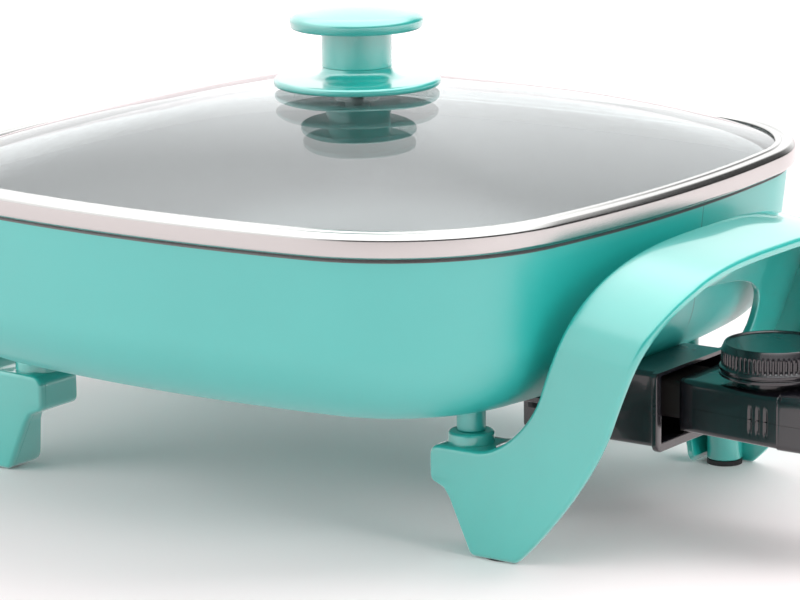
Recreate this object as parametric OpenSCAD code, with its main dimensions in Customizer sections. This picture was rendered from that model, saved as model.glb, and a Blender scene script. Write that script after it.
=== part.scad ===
// Square electric skillet with a lift-off glass lid, two leg-handles
// and a pull-out probe control.  Millimetres.  Z is up and the feet stand on z = 0.
// The control leaves the pan on +X, and the two handles stand on +X and -X.

/* [Pan] */
// Width of the pan across the middle of its sides, at the rim
pan_w = 304.8; // [292:0.2:320]
// Plan radius of each gently bowed side
bow_r = 573; // [480:1:800]
// Plan radius of each corner at the rim
corner_r = 78; // [70:0.5:86]
// Height of the rim above the table
rim_z = 122; // [118:0.5:132]
// Height of the flat underside above the table
base_z = 55; // [53:0.5:58]
// Thickness of the cast wall
wall_t = 3.2; // [2.6:0.1:4]
// Thickness of the cast floor
floor_t = 4; // [3.4:0.1:5]
// How far the wall leans in before the bottom curve starts
draft = 3.8; // [2:0.1:6]
// Radius of the curve between the wall and the underside
roll_r = 31.6; // [26:0.2:34]
// Radius that breaks the edges of the rim
rim_round = 0.9; // [0.5:0.1:1.2]

/* [Pan posts] */
// Diameter of each cast post that carries the pan
post_d = 11; // [9:0.5:13]
// Distance from the end of each tab to the middle of its post
post_back = 11.5; // [10.2:0.1:12.6]
// Half the distance between the posts along a handle
post_half = 77.5; // [74:0.5:80]
// Diameter of the handle screws
hscrew_d = 4; // [3:0.1:4.5]
// Diameter of the heads of the handle screws
hscrew_head_d = 7.6; // [6.5:0.1:8]
// Height of the heads of the handle screws
hscrew_head_h = 2.8; // [2:0.1:3.5]
// Diameter of the washers under those heads
washer_d = 9.4; // [8.5:0.1:10]
// Thickness of those washers
washer_t = 1; // [0.6:0.1:1.4]

/* [Heating element] */
// Distance from the side of the pan in to the heating loop
loop_inset = 74.4; // [72.4:0.2:80]
// Half the distance between the two straight ends of the loop
leg_half = 9.5; // [9.3:0.1:10]
// Radius where an end bends into the loop
loop_bend_r = 14; // [12:0.5:16]
// Diameter of the element's sheath
sheath_d = 6.6; // [5.6:0.1:6.8]
// Thickness of the cast metal round the sheath
sheath_wall = 2.2; // [1.8:0.1:2.3]
// How far the element's centre lies under the pan's underside
loop_drop = 4; // [3.6:0.1:4.4]
// Diameter of the terminal pins
pin_d = 4.8; // [4:0.1:5]
// Length of the terminal pins past the back of the socket
pin_len = 50; // [44:0.5:52]
// Outside diameter of the ceramic bushings
bush_d = 9; // [8:0.1:10]
// Length of the ceramic bushings
bush_len = 6; // [5:0.1:8]

/* [Probe sleeve] */
// Outside diameter of the sleeve that takes the probe
sleeve_d = 7.6; // [7.2:0.1:7.8]
// Length of that sleeve
sleeve_len = 38; // [34:0.5:42]
// Length of the cast saddle that holds the sleeve
saddle_len = 12; // [9:0.5:16]
// Width of that saddle
saddle_w = 15; // [12:0.5:18]

/* [Socket] */
// Width of the socket behind its front frame
socket_w = 50; // [48:0.5:54]
// Height of the socket's underside above the table
socket_z = 34; // [32:0.5:36]
// Height of the socket behind its front frame
socket_h = 28.5; // [27:0.5:30]
// Thickness of the socket's walls
socket_t = 2.2; // [1.8:0.1:2.6]
// How far the socket reaches out past the side of the pan
socket_out = 5.6; // [4:0.1:9]
// Length of the socket from its back to its front
socket_len = 62; // [60:0.5:66]
// Thickness of the front frame
frame_t = 2.5; // [2:0.1:3.5]
// How far the front frame stands out round the socket
frame_lip = 1.8; // [1:0.1:2.4]
// Distance from the back of the socket to the middle of its ears
ear_back = 10; // [9:0.5:14]
// Length of each ear
ear_len = 12; // [11:0.5:14]
// How far the ears lie under the pan's underside
ear_drop = 5; // [4.5:0.1:5.5]
// How far each ear reaches out to its screw
ear_reach = 7; // [6.5:0.1:9]
// Thickness of the ears
ear_t = 2.6; // [2:0.1:3.2]
// Diameter of the socket screws
sscrew_d = 3.5; // [2.8:0.1:4]
// Diameter of the heads of the socket screws
sscrew_head_d = 7; // [6:0.1:7.5]
// Height of the heads of the socket screws
sscrew_head_h = 2.2; // [1.8:0.1:2.6]

/* [Handles] */
// Distance from the middle of the pan to the front of a leg
leg_front = 89.3; // [87:0.1:93]
// Thickness of the moulded band
band_t = 3.5; // [3:0.1:4.2]
// Gap between the side of the pan and the inner edge of the grip
grip_gap = 9.9; // [8:0.1:12]
// Width of the grip
grip_w = 33; // [29:0.5:37]
// Height of the inner edge of the grip
grip_z = 117.2; // [113:0.1:118]
// Slope of the grip towards its outer edge
grip_slope = 7.6; // [5:0.2:11]
// Height at which the legs start to bend over
bend_z = 75.5; // [70:0.5:78]
// Fullness of the bend
bend_power = 2.9; // [2.4:0.05:3.2]
// How far the tab reaches in under the pan
tab_reach = 56.4; // [54:0.1:58]
// Distance from the tab's end to where the leg starts to curve up
tab_run = 21; // [19:0.5:23]
// Height of the top of the tab
tab_z = 41.5; // [40.5:0.1:43]
// Height of the tab's end wall
tab_h = 14.5; // [13:0.1:16]
// Depth of the tab from front to back
tab_deep = 23; // [22:0.5:26]
// Distance from the side of the pan in to the leg's foot
foot_inset = 37.9; // [36:0.1:39]
// Width of the leg at its foot
foot_w = 20; // [18:0.5:22]
// Gap between the leg's lower edge and the table
foot_gap = 0.9; // [0.6:0.1:1.4]
// Distance from the side of the pan in to the leg's inner knee
knee_in = 6.2; // [5:0.1:8]
// Height of the leg's inner knee
knee_in_z = 68; // [64:0.5:72]
// Distance from the side of the pan out to the leg's outer knee
knee_out = 23.8; // [22:0.1:26]
// Height of the leg's outer knee
knee_out_z = 58; // [54:0.5:62]
// Thickness of the flange, the side walls and the rib
flange_t = 3; // [2.4:0.1:3.4]
// Depth of the flange at the legs
flange_deep = 27; // [23:0.5:29]
// Depth of the flange under the grip
flange_grip = 27; // [23:0.5:29]
// Depth of the leg's lower side wall
shin_deep = 13; // [11:0.5:15]
// Depth of the rib inside the grip
rib_deep = 7.5; // [6:0.5:9]
// Diameter of the collar that seats a pan post
collar_d = 17.7; // [16:0.1:18]
// Height of that collar
collar_h = 4.5; // [3:0.1:6]
// Diameter of the screw boss under the tab
boss_d = 12; // [10.5:0.1:12.6]
// Length of that boss
boss_h = 6.5; // [5:0.1:8]

/* [Feet] */
// Diameter of the foot posts and their rubber pads
foot_d = 14.5; // [13:0.1:15.5]
// Distance of a foot post's centre behind the leg's front
foot_back = 8.3; // [8:0.1:10]
// Height of a foot post above its pad
foot_post_h = 30; // [24:0.5:34]
// Thickness of the rubber pads
pad_t = 2; // [1.6:0.1:3]
// Diameter of a pad's stem
stem_d = 6; // [5:0.1:7]
// Length of a pad's stem
stem_h = 7; // [5:0.1:9]

/* [Lid] */
// Thickness of the glass
glass_t = 4; // [3.6:0.1:4.4]
// Rise of the glass dome
dome_h = 26.3; // [22:0.1:30]
// Width of the flat edge of the glass
glass_flat = 6.5; // [5.5:0.1:8]
// Size of the ground edge of the glass
glass_edge = 1.2; // [0.8:0.1:1.6]
// Height of the steel band's bead
bead_h = 3.8; // [3:0.1:4.5]
// How far the band stands out past the pan
band_out = 3; // [2:0.1:3.6]
// Thickness of the band's sheet
sheet_t = 0.9; // [0.7:0.1:1.1]
// How far the band's skirt hangs into the pan
skirt_h = 3.8; // [2.5:0.1:5]
// Diameter of the hole in the glass
glass_hole_d = 8; // [7:0.1:10]

/* [Lid knob] */
// Diameter of the knob's base disc
base_d = 67.6; // [60:0.2:74]
// Thickness of the base disc
base_t = 3.2; // [2.8:0.1:4]
// Height of the flared collar above the base disc
flare_h = 4.3; // [3.5:0.1:5.5]
// Radius of the flare
flare_r = 6.5; // [5:0.1:7.5]
// Diameter of the knob's stem
stem_knob_d = 28.4; // [24:0.2:32]
// Height of the stem
stem_knob_h = 15.6; // [13:0.1:20]
// Diameter of the top disc
top_d = 54.2; // [48:0.2:60]
// Thickness of the top disc at its edge
top_t = 5.2; // [4:0.1:7]
// Crown of the top disc
top_crown = 3.3; // [2:0.1:4.5]
// Thickness of the silicone gasket under the knob
gasket_t = 0.7; // [0.5:0.1:1.2]
// Diameter of the gasket
gasket_d = 16; // [14:0.2:18]
// Diameter of the knob screw
kscrew_d = 5; // [4:0.1:6]
// Diameter of the knob screw's head
kscrew_head_d = 10; // [8:0.1:12]
// Diameter of the steel washer under the glass
kwasher_d = 18; // [15:0.2:22]

/* [Control] */
// Gap between the socket's front and the control's body
body_gap = 7; // [6:0.1:9]
// Length of the control's body
body_len = 81; // [78:0.5:86]
// Width of the body at its nose end
body_w0 = 31; // [30.6:0.2:33]
// Width of the body where the grip starts
body_w1 = 39.6; // [38:0.2:41]
// Length of the tapering part
taper_len = 40; // [37:0.5:42]
// How far the grip swells past the tapering part
swell = 0.8; // [0.4:0.1:1.4]
// Height of the body's underside above the table
body_z = 39.3; // [38:0.1:40]
// Height of the body
body_h = 19.7; // [19.2:0.1:21]
// Thickness of the body's walls
shell_t = 2.2; // [1.8:0.1:2.4]
// Seam between the two halves of the body
seam = 0.2; // [0.1:0.1:0.4]
// Length of the nose
nose_len = 27; // [24:0.5:30]
// Width of the nose
nose_w = 29; // [27:0.2:29.4]
// Height of the nose
nose_h = 14.4; // [13:0.1:15]
// Diameter of the probe
probe_d = 6; // [5.6:0.1:6.4]
// Outside diameter of the contact sleeves
contact_d = 6.6; // [6.2:0.1:6.8]
// Diameter of the case screws
cscrew_d = 2.9; // [2.4:0.1:3.2]
// Diameter of the heads of the case screws
cscrew_head_d = 5.4; // [4.6:0.1:5.6]

/* [Dial] */
// Distance from the front of the body to the dial's axis
dial_back = 28.8; // [28:0.1:31]
// Diameter of the dial
dial_d = 40.6; // [38:0.2:42]
// Height of the dial
dial_h = 12.2; // [10:0.1:15]
// Height of the plain skirt under the ribs
skirt_dial_h = 2.4; // [2:0.1:4]
// Height of the plain band above the dial's ribs
band_dial_h = 3; // [1.5:0.1:4]
// How far the skirt flares past the ribs
skirt_flare = 1; // [0.6:0.1:1.4]
// Height of the round seat under the dial
seat_h = 3.3; // [2.5:0.1:5]
// Diameter of the dial's shaft
shaft_d = 6; // [5:0.1:7]
// Number of ribs round the dial
rib_count = 60; // [36:4:72]

/* [Cord inlet] */
// Diameter of the hole for the cord
cord_hole_d = 7.5; // [6.5:0.1:8.5]
// Length of the gland past the body
gland_len = 10; // [8:0.5:14]
// Diameter of the gland's flange
gland_d = 13.6; // [13:0.1:14.4]
// Thickness of the gland's flange
gland_flange_t = 3; // [2:0.1:4]
// Diameter of the gland at its end
gland_end_d = 10.4; // [9.8:0.1:11]

/* [Fits] */
// Gap between neighbouring moulded pieces
gap = 0.3; // [0.2:0.05:0.4]
// Radial clearance of a part that slides or turns in another
run = 0.08; // [0.05:0.01:0.1]
// Radial clearance of a part that is fixed in a hole
seat = 0.05; // [0.03:0.01:0.08]

/* [Hidden] */
$fn = 64;

turquoise = [0.47, 0.82, 0.78];
black_gloss = [0.07, 0.07, 0.08];
steel = [0.78, 0.77, 0.75];
brass = [0.78, 0.66, 0.38];
ceramic = [0.92, 0.9, 0.85];
rubber = [0.1, 0.1, 0.1];

half = pan_w / 2;
side_steps = 8;      // segments along each bowed side
corner_steps = 8;    // segments round each corner
roll_steps = 6;      // segments through the bottom curve
arc_steps = 44;      // segments round the heating loop
bend_steps = 4;      // segments through each bend of the loop
bar_sides = 18;      // sides of the loop's round section
over = 1;            // how far cutting tools run past a face

// Loop, pins and probe share one height
loop_z = base_z - loop_drop;
loop_r = half - loop_inset;
sheath_r = sheath_d / 2;
ridge_r = sheath_r + sheath_wall;
bend_x = sqrt((loop_r + loop_bend_r)^2 - (leg_half + loop_bend_r)^2);
bend_angle = atan2(leg_half + loop_bend_r, bend_x);

// Socket
socket_x1 = half + socket_out;
socket_x0 = socket_x1 - socket_len;
socket_in_w = socket_w - 2 * socket_t;
socket_top = socket_z + socket_h;
ear_x = socket_x0 + ear_back;
ear_top = base_z - ear_drop;
ear_y = socket_w / 2 + ear_reach - 1;
sboss_d = sscrew_d + 4.6;
sleeve_x1 = socket_x0 + socket_t + 0.6;
sleeve_x0 = sleeve_x1 - sleeve_len;
pin_x0 = socket_x0 - 0.4;
pin_x1 = socket_x0 + pin_len;
element_x1 = pin_x0 - 0.05;

// Handles, measured from the side of the pan
grip_x0 = half + grip_gap;
post_x = half - tab_reach + post_back;
post_z0 = tab_z + collar_h + seat;
foot_x = half - foot_inset + foot_w / 2;
foot_y = leg_front - foot_back;
shelf_z = tab_z - flange_t;
hscrew_z = shelf_z - boss_h;
hscrew_top = base_z + 1;

// Lid
bead_z0 = rim_z + gap;
bead_z1 = bead_z0 + bead_h;
glass_half = half + band_out - sheet_t - gap;
glass_z0 = bead_z1 + gap;
glass_z1 = glass_z0 + glass_t;
dome_scale = 1 - glass_flat / glass_half;
seat_scale = 0.08;   // size of the flat spot in the middle of the glass
dome_z = glass_z1 + dome_h;
lid_seat_in = wall_t + 0.8;
kwasher_t = 1.2;
kscrew_head_h = 3;

// Knob, stacked up from the top of the dome
gasket_z = dome_z + seat;
base_disc_z = gasket_z + gasket_t + seat;
flare_z = base_disc_z + base_t;
stem_z = flare_z + flare_h + seat;
top_disc_z = stem_z + stem_knob_h;
kscrew_top = top_disc_z - 4;

// Control
body_x0 = socket_x1 + body_gap;
body_x1 = body_x0 + body_len;
grip_start = body_x0 + taper_len;
grip_half = body_w1 / 2 + swell;
body_mid = body_z + body_h / 2;
body_top = body_z + body_h;
grip_z0 = body_z - 0.4;
grip_z1 = body_top + 0.8;
nose_x0 = body_x0 - nose_len;
nose_tail = 5;
nose_tail_w = body_w0 - 2 * shell_t - 0.6;
nose_tail_h = 11;
probe_x0 = sleeve_x0 + 3;
probe_x1 = body_x0 + 8;
contact_x0 = nose_x0 + 1;
contact_x1 = body_x0 + 5;
dial_x = body_x0 + dial_back;
dial_z = body_top + seat_h + 0.5;
seat_d = dial_d - 5;
shaft_z0 = loop_z - 0.9;
frame_x0 = body_x0 + 3.5;
frame_x1 = dial_x + 7.5;
frame_w = 15.4;
strip_t = 1.2;
frame_z = body_z + shell_t + 1.5;
bridge_z = loop_z + 4.2;
bush_out_d = 9;
leaf_w = 7;
leaf_t = 0.5;
leaf_x0 = probe_x1 + 1.5;
upper_leaf_z = shaft_z0 - gap - leaf_t;
lower_leaf_z = upper_leaf_z - 2.7;
stack_x = leaf_x0 + 4;
contact_x = dial_x - 7;
rivet_d = 2.4;
lens_x = grip_start + 18;
lens_d = 8;
lamp_d = 5;
case_screw_spots = [[grip_start + 5.5, 15.4], [body_x1 - 8.5, 13.2]];
case_boss_d = 6.4;
gland_x0 = body_x1 - shell_t - gland_flange_t;
inlet_x1 = body_x1 + gland_len;
inlet_z = body_mid;

// The whole object stands with the middle of its box on the origin
pan_x = (half + grip_gap + grip_w - inlet_x1) / 2;

module placed() {
    translate([pan_x, 0, 0]) children();
}

// ---------------------------------------------------------------- outlines

// Bowed square, "off" inside the rim line: side arcs joined to corner arcs
function square_ring(off, z) =
    let (d = bow_r - half,
         reach = bow_r - corner_r,
         c = (sqrt(8 * reach^2 - 4 * d^2) - 2 * d) / 4,
         a = atan2(c, c + d),
         rs = bow_r - off,
         rc = corner_r - off)
    [for (q = [0:3]) each concat(
        [for (i = [0:side_steps - 1])
            let (t = -a + 2 * a * i / side_steps)
            turn_point([rs * cos(t) - d, rs * sin(t)], 90 * q, z)],
        [for (i = [0:corner_steps - 1])
            let (t = a + (90 - 2 * a) * i / corner_steps)
            turn_point([c + rc * cos(t), c + rc * sin(t)], 90 * q, z)])];

function turn_point(p, angle, z) =
    [p[0] * cos(angle) - p[1] * sin(angle), p[0] * sin(angle) + p[1] * cos(angle), z];

// Edge of the glass, "off" inside its outermost line
function glass_ring(off, z) = square_ring(half - glass_half + off, z);

// The same outline shrunk towards its middle by "k", for the dome
function dome_ring(k, z) = [for (p = glass_ring(0, 0)) [p[0] * k, p[1] * k, z]];

// A stack of rings with a flat cap on the first and the last
module ring_stack(rings) {
    n = len(rings[0]);
    m = len(rings);
    polyhedron(
        points = [for (r = rings) each r],
        faces = concat(
            [[for (i = [0:n - 1]) i]],
            [[for (i = [n - 1:-1:0]) (m - 1) * n + i]],
            [for (k = [0:m - 2], i = [0:n - 1])
                [k * n + i, (k + 1) * n + (i + 1) % n, k * n + (i + 1) % n]],
            [for (k = [0:m - 2], i = [0:n - 1])
                [k * n + i, (k + 1) * n + i, (k + 1) * n + (i + 1) % n]]));
}

// A closed profile of [inset, height] points carried round the outline
module ring_loop(profile) {
    rings = [for (p = profile) square_ring(p[0], p[1])];
    n = len(rings[0]);
    m = len(rings);
    polyhedron(
        points = [for (r = rings) each r],
        faces = concat(
            [for (k = [0:m - 1], i = [0:n - 1])
                [k * n + i, k * n + (i + 1) % n, ((k + 1) % m) * n + (i + 1) % n]],
            [for (k = [0:m - 1], i = [0:n - 1])
                [k * n + i, ((k + 1) % m) * n + (i + 1) % n, ((k + 1) % m) * n + i]]));
}

function bezier(a, b, c, d, n) =
    [for (i = [0:n]) let (t = i / n)
        a * (1 - t)^3 + 3 * b * t * (1 - t)^2 + 3 * c * t^2 * (1 - t) + d * t^3];

// ---------------------------------------------------------------- pan

// [inset, height] of the outer surface from the underside up to the rim
function pan_outer(grow) = concat(
    [for (i = [0:roll_steps]) let (t = 90 - 90 * i / roll_steps)
        [draft + roll_r - (roll_r + grow) * cos(t),
         base_z + roll_r - (roll_r + grow) * sin(t)]],
    [[-grow, rim_z - rim_round]]);

// [inset, height] of the inner surface from the rim down to the floor
function pan_inner() = concat(
    [[wall_t, rim_z - rim_round]],
    [for (i = [0:roll_steps]) let (t = 90 * i / roll_steps, r = roll_r - wall_t)
        [draft + roll_r - r * cos(t), base_z + floor_t + r - r * sin(t)]]);

module pan_shell() {
    profile = concat(pan_outer(0), [[rim_round, rim_z], [wall_t - rim_round, rim_z]],
        pan_inner());
    ring_stack([for (p = profile) square_ring(p[0], p[1])]);
}

// The loop's centre line as [x, y, heading]: one end, a bend, the arc, a bend, the other end
function loop_path(x1) =
    let (yc = leg_half + loop_bend_r,
         a0 = bend_angle,
         sweep = 90 - bend_angle)
    concat(
        [[x1, leg_half, 90]],
        [for (i = [0:bend_steps]) let (a = 270 - sweep * i / bend_steps)
            [bend_x + loop_bend_r * cos(a), yc + loop_bend_r * sin(a), a - 180]],
        [for (i = [1:arc_steps - 1]) let (a = a0 + (360 - 2 * a0) * i / arc_steps)
            [loop_r * cos(a), loop_r * sin(a), a]],
        [for (i = [0:bend_steps]) let (a = 180 - a0 - sweep * i / bend_steps)
            [bend_x + loop_bend_r * cos(a), loop_bend_r * sin(a) - yc, a - 180]],
        [[x1, -leg_half, -90]]);

// A round bar of radius r along that line
module loop_bar(r, x1) {
    path = loop_path(x1);
    n = bar_sides;
    m = len(path);
    translate([0, 0, loop_z]) polyhedron(
        points = [for (p = path, j = [0:n - 1]) let (t = 360 * (j + 0.5) / n)
            [p[0] + r * cos(t) * cos(p[2]), p[1] + r * cos(t) * sin(p[2]), r * sin(t)]],
        faces = concat(
            [[for (j = [n - 1:-1:0]) j]],
            [[for (j = [0:n - 1]) (m - 1) * n + j]],
            [for (k = [0:m - 2], j = [0:n - 1])
                [k * n + (j + 1) % n, (k + 1) * n + j, k * n + j]],
            [for (k = [0:m - 2], j = [0:n - 1])
                [k * n + (j + 1) % n, (k + 1) * n + (j + 1) % n, (k + 1) * n + j]]));
}

module at_posts() {
    for (sx = [-1, 1], sy = [-1, 1]) translate([sx * post_x, sy * post_half, 0]) children();
}

module at_ears() {
    for (sy = [-1, 1]) translate([ear_x, sy * ear_y, 0]) children();
}

module pan() {
    color(turquoise) placed() difference() {
        union() {
            pan_shell();
            at_posts() translate([0, 0, post_z0])
                cylinder(d = post_d, h = base_z - post_z0 + floor_t / 2);
            at_ears() translate([0, 0, ear_top + seat])
                cylinder(d = sboss_d, h = base_z - ear_top - seat + floor_t / 2);
            translate([sleeve_x0 + 4, -saddle_w / 2, loop_z - sleeve_d / 2 - 2])
                cube([saddle_len, saddle_w, base_z - loop_z + sleeve_d / 2 + 3]);
        }
        at_posts() translate([0, 0, post_z0 - over])
            cylinder(d = hscrew_d + 2 * seat, h = hscrew_top - post_z0 + over + gap);
        at_ears() translate([0, 0, ear_top - over])
            cylinder(d = sscrew_d + 2 * seat, h = base_z - ear_top + over + 1);
        at_pins() translate([0, 0, pin_x0 - gap])
            cylinder(d = bush_d + 2 * gap, h = bush_len + 2 * gap);
        translate([sleeve_x0 - over, 0, loop_z]) rotate([0, 90, 0])
            cylinder(d = sleeve_d + 2 * seat, h = saddle_len + 8);
    }
}

// ---------------------------------------------------------------- heat and contacts

module heating_element() {
    color(steel) placed() loop_bar(sheath_r, element_x1);
}

// Half-round channel that clamps the loop to the underside of the pan
module element_channel() {
    color([0.75, 0.76, 0.77]) placed() difference() {
        loop_bar(ridge_r, element_x1 - 1);
        loop_bar(sheath_r + seat, element_x1);
        translate([-half, -half, base_z - seat]) cube([2 * half, 2 * half, ridge_r]);
    }
}

module at_pins() {
    for (sy = [-1, 1]) translate([0, sy * leg_half, loop_z]) rotate([0, 90, 0]) children();
}

module terminal_pins() {
    color(steel) placed() at_pins() translate([0, 0, pin_x0]) {
        cylinder(d = pin_d, h = pin_x1 - pin_x0 - 1);
        translate([0, 0, pin_x1 - pin_x0 - 1])
            cylinder(d1 = pin_d, d2 = pin_d - 1.2, h = 1);
    }
}

module terminal_bushings() {
    color(ceramic) placed() at_pins() translate([0, 0, pin_x0]) difference() {
        cylinder(d = bush_d, h = bush_len);
        translate([0, 0, -over]) cylinder(d = pin_d + 2 * seat, h = bush_len + 2 * over);
    }
}

module probe_sleeve() {
    color(steel) placed() translate([sleeve_x0, 0, loop_z]) rotate([0, 90, 0])
        difference() {
            cylinder(d = sleeve_d, h = sleeve_len);
            translate([0, 0, 1]) cylinder(d = probe_d + 2 * run, h = sleeve_len);
        }
}

// ---------------------------------------------------------------- socket

// The pan's side grown by "gap", turned about the centre of the side's bow
module pan_side_tool() {
    profile = pan_outer(gap);
    translate([half - bow_r, 0, 0]) rotate([0, 0, -6]) rotate_extrude(angle = 12)
        polygon(concat(
            [[bow_r - half, base_z - gap]],
            [for (p = profile) [bow_r - p[0], p[1]]],
            [[bow_r - half, rim_z]]));
}

module socket_shroud() {
    color(black_gloss) placed() difference() {
        union() {
            translate([socket_x0, -socket_w / 2, socket_z])
                cube([socket_len, socket_w, socket_h]);
            translate([socket_x1 - frame_t, -socket_w / 2 - frame_lip, socket_z - frame_lip])
                cube([frame_t, socket_w + 2 * frame_lip, socket_h + 2 * frame_lip]);
            translate([ear_x - ear_len / 2, -socket_w / 2 - ear_reach * 1.5, ear_top - ear_t])
                cube([ear_len, socket_w + 3 * ear_reach, ear_t]);
        }
        translate([socket_x0 + socket_t, -socket_in_w / 2, socket_z + socket_t])
            cube([socket_len, socket_in_w, socket_h - 2 * socket_t]);
        pan_side_tool();
        at_pins() translate([0, 0, socket_x0 - over])
            cylinder(d = bush_d + 2 * seat, h = socket_t + 2 * over);
        translate([socket_x0 - over, 0, loop_z]) rotate([0, 90, 0])
            cylinder(d = sleeve_d + 2 * seat, h = socket_t + 2 * over);
        at_ears() translate([0, 0, ear_top - ear_t - over])
            cylinder(d = sscrew_d + 0.6, h = ear_t + 2 * over);
    }
}

module socket_screws() {
    color(steel) placed() at_ears() {
        translate([0, 0, ear_top - ear_t - sscrew_head_h - seat])
            cylinder(d = sscrew_head_d, h = sscrew_head_h);
        translate([0, 0, ear_top - ear_t - seat - 0.5])
            cylinder(d = sscrew_d, h = base_z - ear_top + ear_t + 1);
    }
}

// ---------------------------------------------------------------- handles

// Front outline of a leg and the end of the grip; x runs outwards from the pan's side
function leg_outline() =
    let (tab_l = -tab_reach,
         tab_low = tab_z - tab_h,
         bend = -tab_reach + tab_run,
         inner_knee = [-knee_in, knee_in_z],
         outer_knee = [knee_out, knee_out_z],
         heel = [-foot_inset + foot_w, foot_gap],
         toe = [-foot_inset, foot_gap],
         head = grip_z + 6,
         slope_in = [3.6, 12],
         slope_out = [6.1, 17])
    concat(
        [[tab_l, tab_low], [tab_l, tab_z]],
        bezier([bend, tab_z], [bend + 11, tab_z], inner_knee - 1.15 * slope_in,
            inner_knee, 8),
        bezier(inner_knee, inner_knee + slope_in,
            [grip_gap - 0.3, grip_z - 13], [grip_gap, grip_z + 2], 8),
        [[grip_gap, head], [grip_gap + grip_w, head]],
        bezier([grip_gap + grip_w, grip_z - 10], [grip_gap + grip_w - 2.2, grip_z - 20],
            outer_knee + slope_out, outer_knee, 8),
        bezier(outer_knee, outer_knee - 1.4 * slope_out, heel + [6.5, 4.8], heel, 8),
        [toe + [1.6, 0], toe + [0, 1.6], [tab_l + 8.6, tab_low - 5.5],
         [tab_l + 5.6, tab_low - 1.2]]);

// Arch seen from the side: straight legs, then a full elliptic bend
function arch(half_w, top) = concat(
    [[half_w, -40]],
    [for (i = [0:28]) let (a = 180 * i / 28, c = cos(a), s = sin(a))
        [half_w * sign(c) * abs(c)^(2 / bend_power),
         bend_z + (top - bend_z) * s^(2 / bend_power)]],
    [[-half_w, -40]]);

// A layer of the arch, from "out" inside its outer face down to an inner arch
module arch_ring(out, in_w, in_top) {
    translate([grip_x0, 0, grip_z]) rotate([0, grip_slope, 0])
        translate([-half, 0, -grip_z]) rotate([90, 0, 90]) linear_extrude(2 * half)
            difference() {
                polygon(arch(leg_front - out, grip_z - out));
                polygon(arch(leg_front - in_w, grip_z - in_top));
            }
}

// A slice of the leg outline, run right through the handle from front to back
module leg_prism() {
    translate([half, leg_front + over, 0]) rotate([90, 0, 0])
        linear_extrude(2 * leg_front + 2 * over) children();
}

// Edge strip of the outline that a shift by "dx" and "dz" leaves bare
module edge_strip(dx, dz) {
    difference() {
        polygon(leg_outline());
        translate([dx, dz]) polygon(leg_outline());
    }
}

module rib_strip() {
    difference() {
        intersection() {
            polygon(leg_outline());
            translate([grip_w / 2, -2]) polygon(leg_outline());
            translate([-half, tab_z + 8]) square([2 * half, grip_z]);
        }
        translate([grip_w / 2 + flange_t * 0.7, -2]) polygon(leg_outline());
    }
}

// Two blocks behind the fronts of the legs, from z0 up to z1
module deep_block(z0, z1, deep) {
    back = leg_front - deep;
    front = leg_front - band_t / 2;
    for (y = [back, -front]) translate([half - tab_reach - over, y, z0])
        cube([tab_reach + grip_gap + grip_w, front - back, z1 - z0]);
}

module at_leg_posts() {
    for (sy = [-1, 1]) translate([post_x, sy * post_half, 0]) children();
}

module at_leg_feet() {
    for (sy = [-1, 1]) translate([foot_x, sy * foot_y, 0]) children();
}

module handle() {
    difference() {
        union() {
            intersection() {
                arch_ring(0, band_t, band_t);
                leg_prism() polygon(leg_outline());
            }
            intersection() {
                difference() {
                    arch_ring(band_t / 2, flange_deep, flange_grip);
                    translate([0, -leg_front - over, -over])
                        cube([2 * half, 2 * leg_front + 2 * over, tab_z + over]);
                }
                leg_prism() edge_strip(flange_t, -flange_t);
            }
            intersection() {
                deep_block(tab_z - tab_h - 0.6, tab_z + over, tab_deep);
                leg_prism() edge_strip(flange_t, -flange_t);
            }
            intersection() {
                deep_block(0, tab_z - tab_h + over, shin_deep);
                leg_prism() edge_strip(flange_t, 0);
            }
            intersection() {
                arch_ring(band_t / 2, rib_deep, rib_deep);
                leg_prism() rib_strip();
            }
            at_leg_posts() {
                translate([0, 0, shelf_z - boss_h]) cylinder(d = boss_d, h = boss_h + 1);
                translate([0, 0, tab_z - 1]) cylinder(d = collar_d, h = collar_h + 1);
            }
            at_leg_feet() translate([0, 0, pad_t + seat])
                cylinder(d = foot_d, h = foot_post_h);
        }
        at_leg_posts() translate([0, 0, hscrew_z - over])
            cylinder(d = hscrew_d + 0.4, h = tab_z + collar_h - hscrew_z + 2 * over);
        at_leg_feet() translate([0, 0, -over]) {
            cylinder(d = stem_d + 2 * seat, h = pad_t + stem_h + 1 + over);
            cylinder(d = foot_d + 2 * gap, h = pad_t + seat + over);
        }
    }
}

module handle_right() {
    color(turquoise) placed() handle();
}

module handle_left() {
    color(turquoise) placed() mirror([1, 0, 0]) handle();
}

module handle_washers() {
    color(steel) placed() at_posts() translate([0, 0, hscrew_z - washer_t - seat])
        difference() {
            cylinder(d = washer_d, h = washer_t);
            translate([0, 0, -over]) cylinder(d = hscrew_d + 0.4, h = washer_t + 2 * over);
        }
}

module handle_screws() {
    head_z = hscrew_z - washer_t - hscrew_head_h - 2 * seat;
    color(steel) placed() at_posts() {
        translate([0, 0, head_z]) difference() {
            cylinder(d = hscrew_head_d, h = hscrew_head_h);
            for (a = [0, 90]) rotate([0, 0, a])
                translate([-hscrew_head_d / 3, -0.5, -over])
                    cube([hscrew_head_d * 2 / 3, 1, 1.2 + over]);
        }
        translate([0, 0, head_z + hscrew_head_h - 0.5])
            cylinder(d = hscrew_d, h = hscrew_top - head_z - hscrew_head_h + 0.5);
    }
}

module foot_pads() {
    color(rubber) placed() for (sx = [-1, 1], sy = [-1, 1])
        translate([sx * foot_x, sy * foot_y, 0]) {
            cylinder(d = foot_d, h = pad_t);
            cylinder(d = stem_d, h = pad_t + stem_h);
        }
}

// ---------------------------------------------------------------- lid

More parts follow.
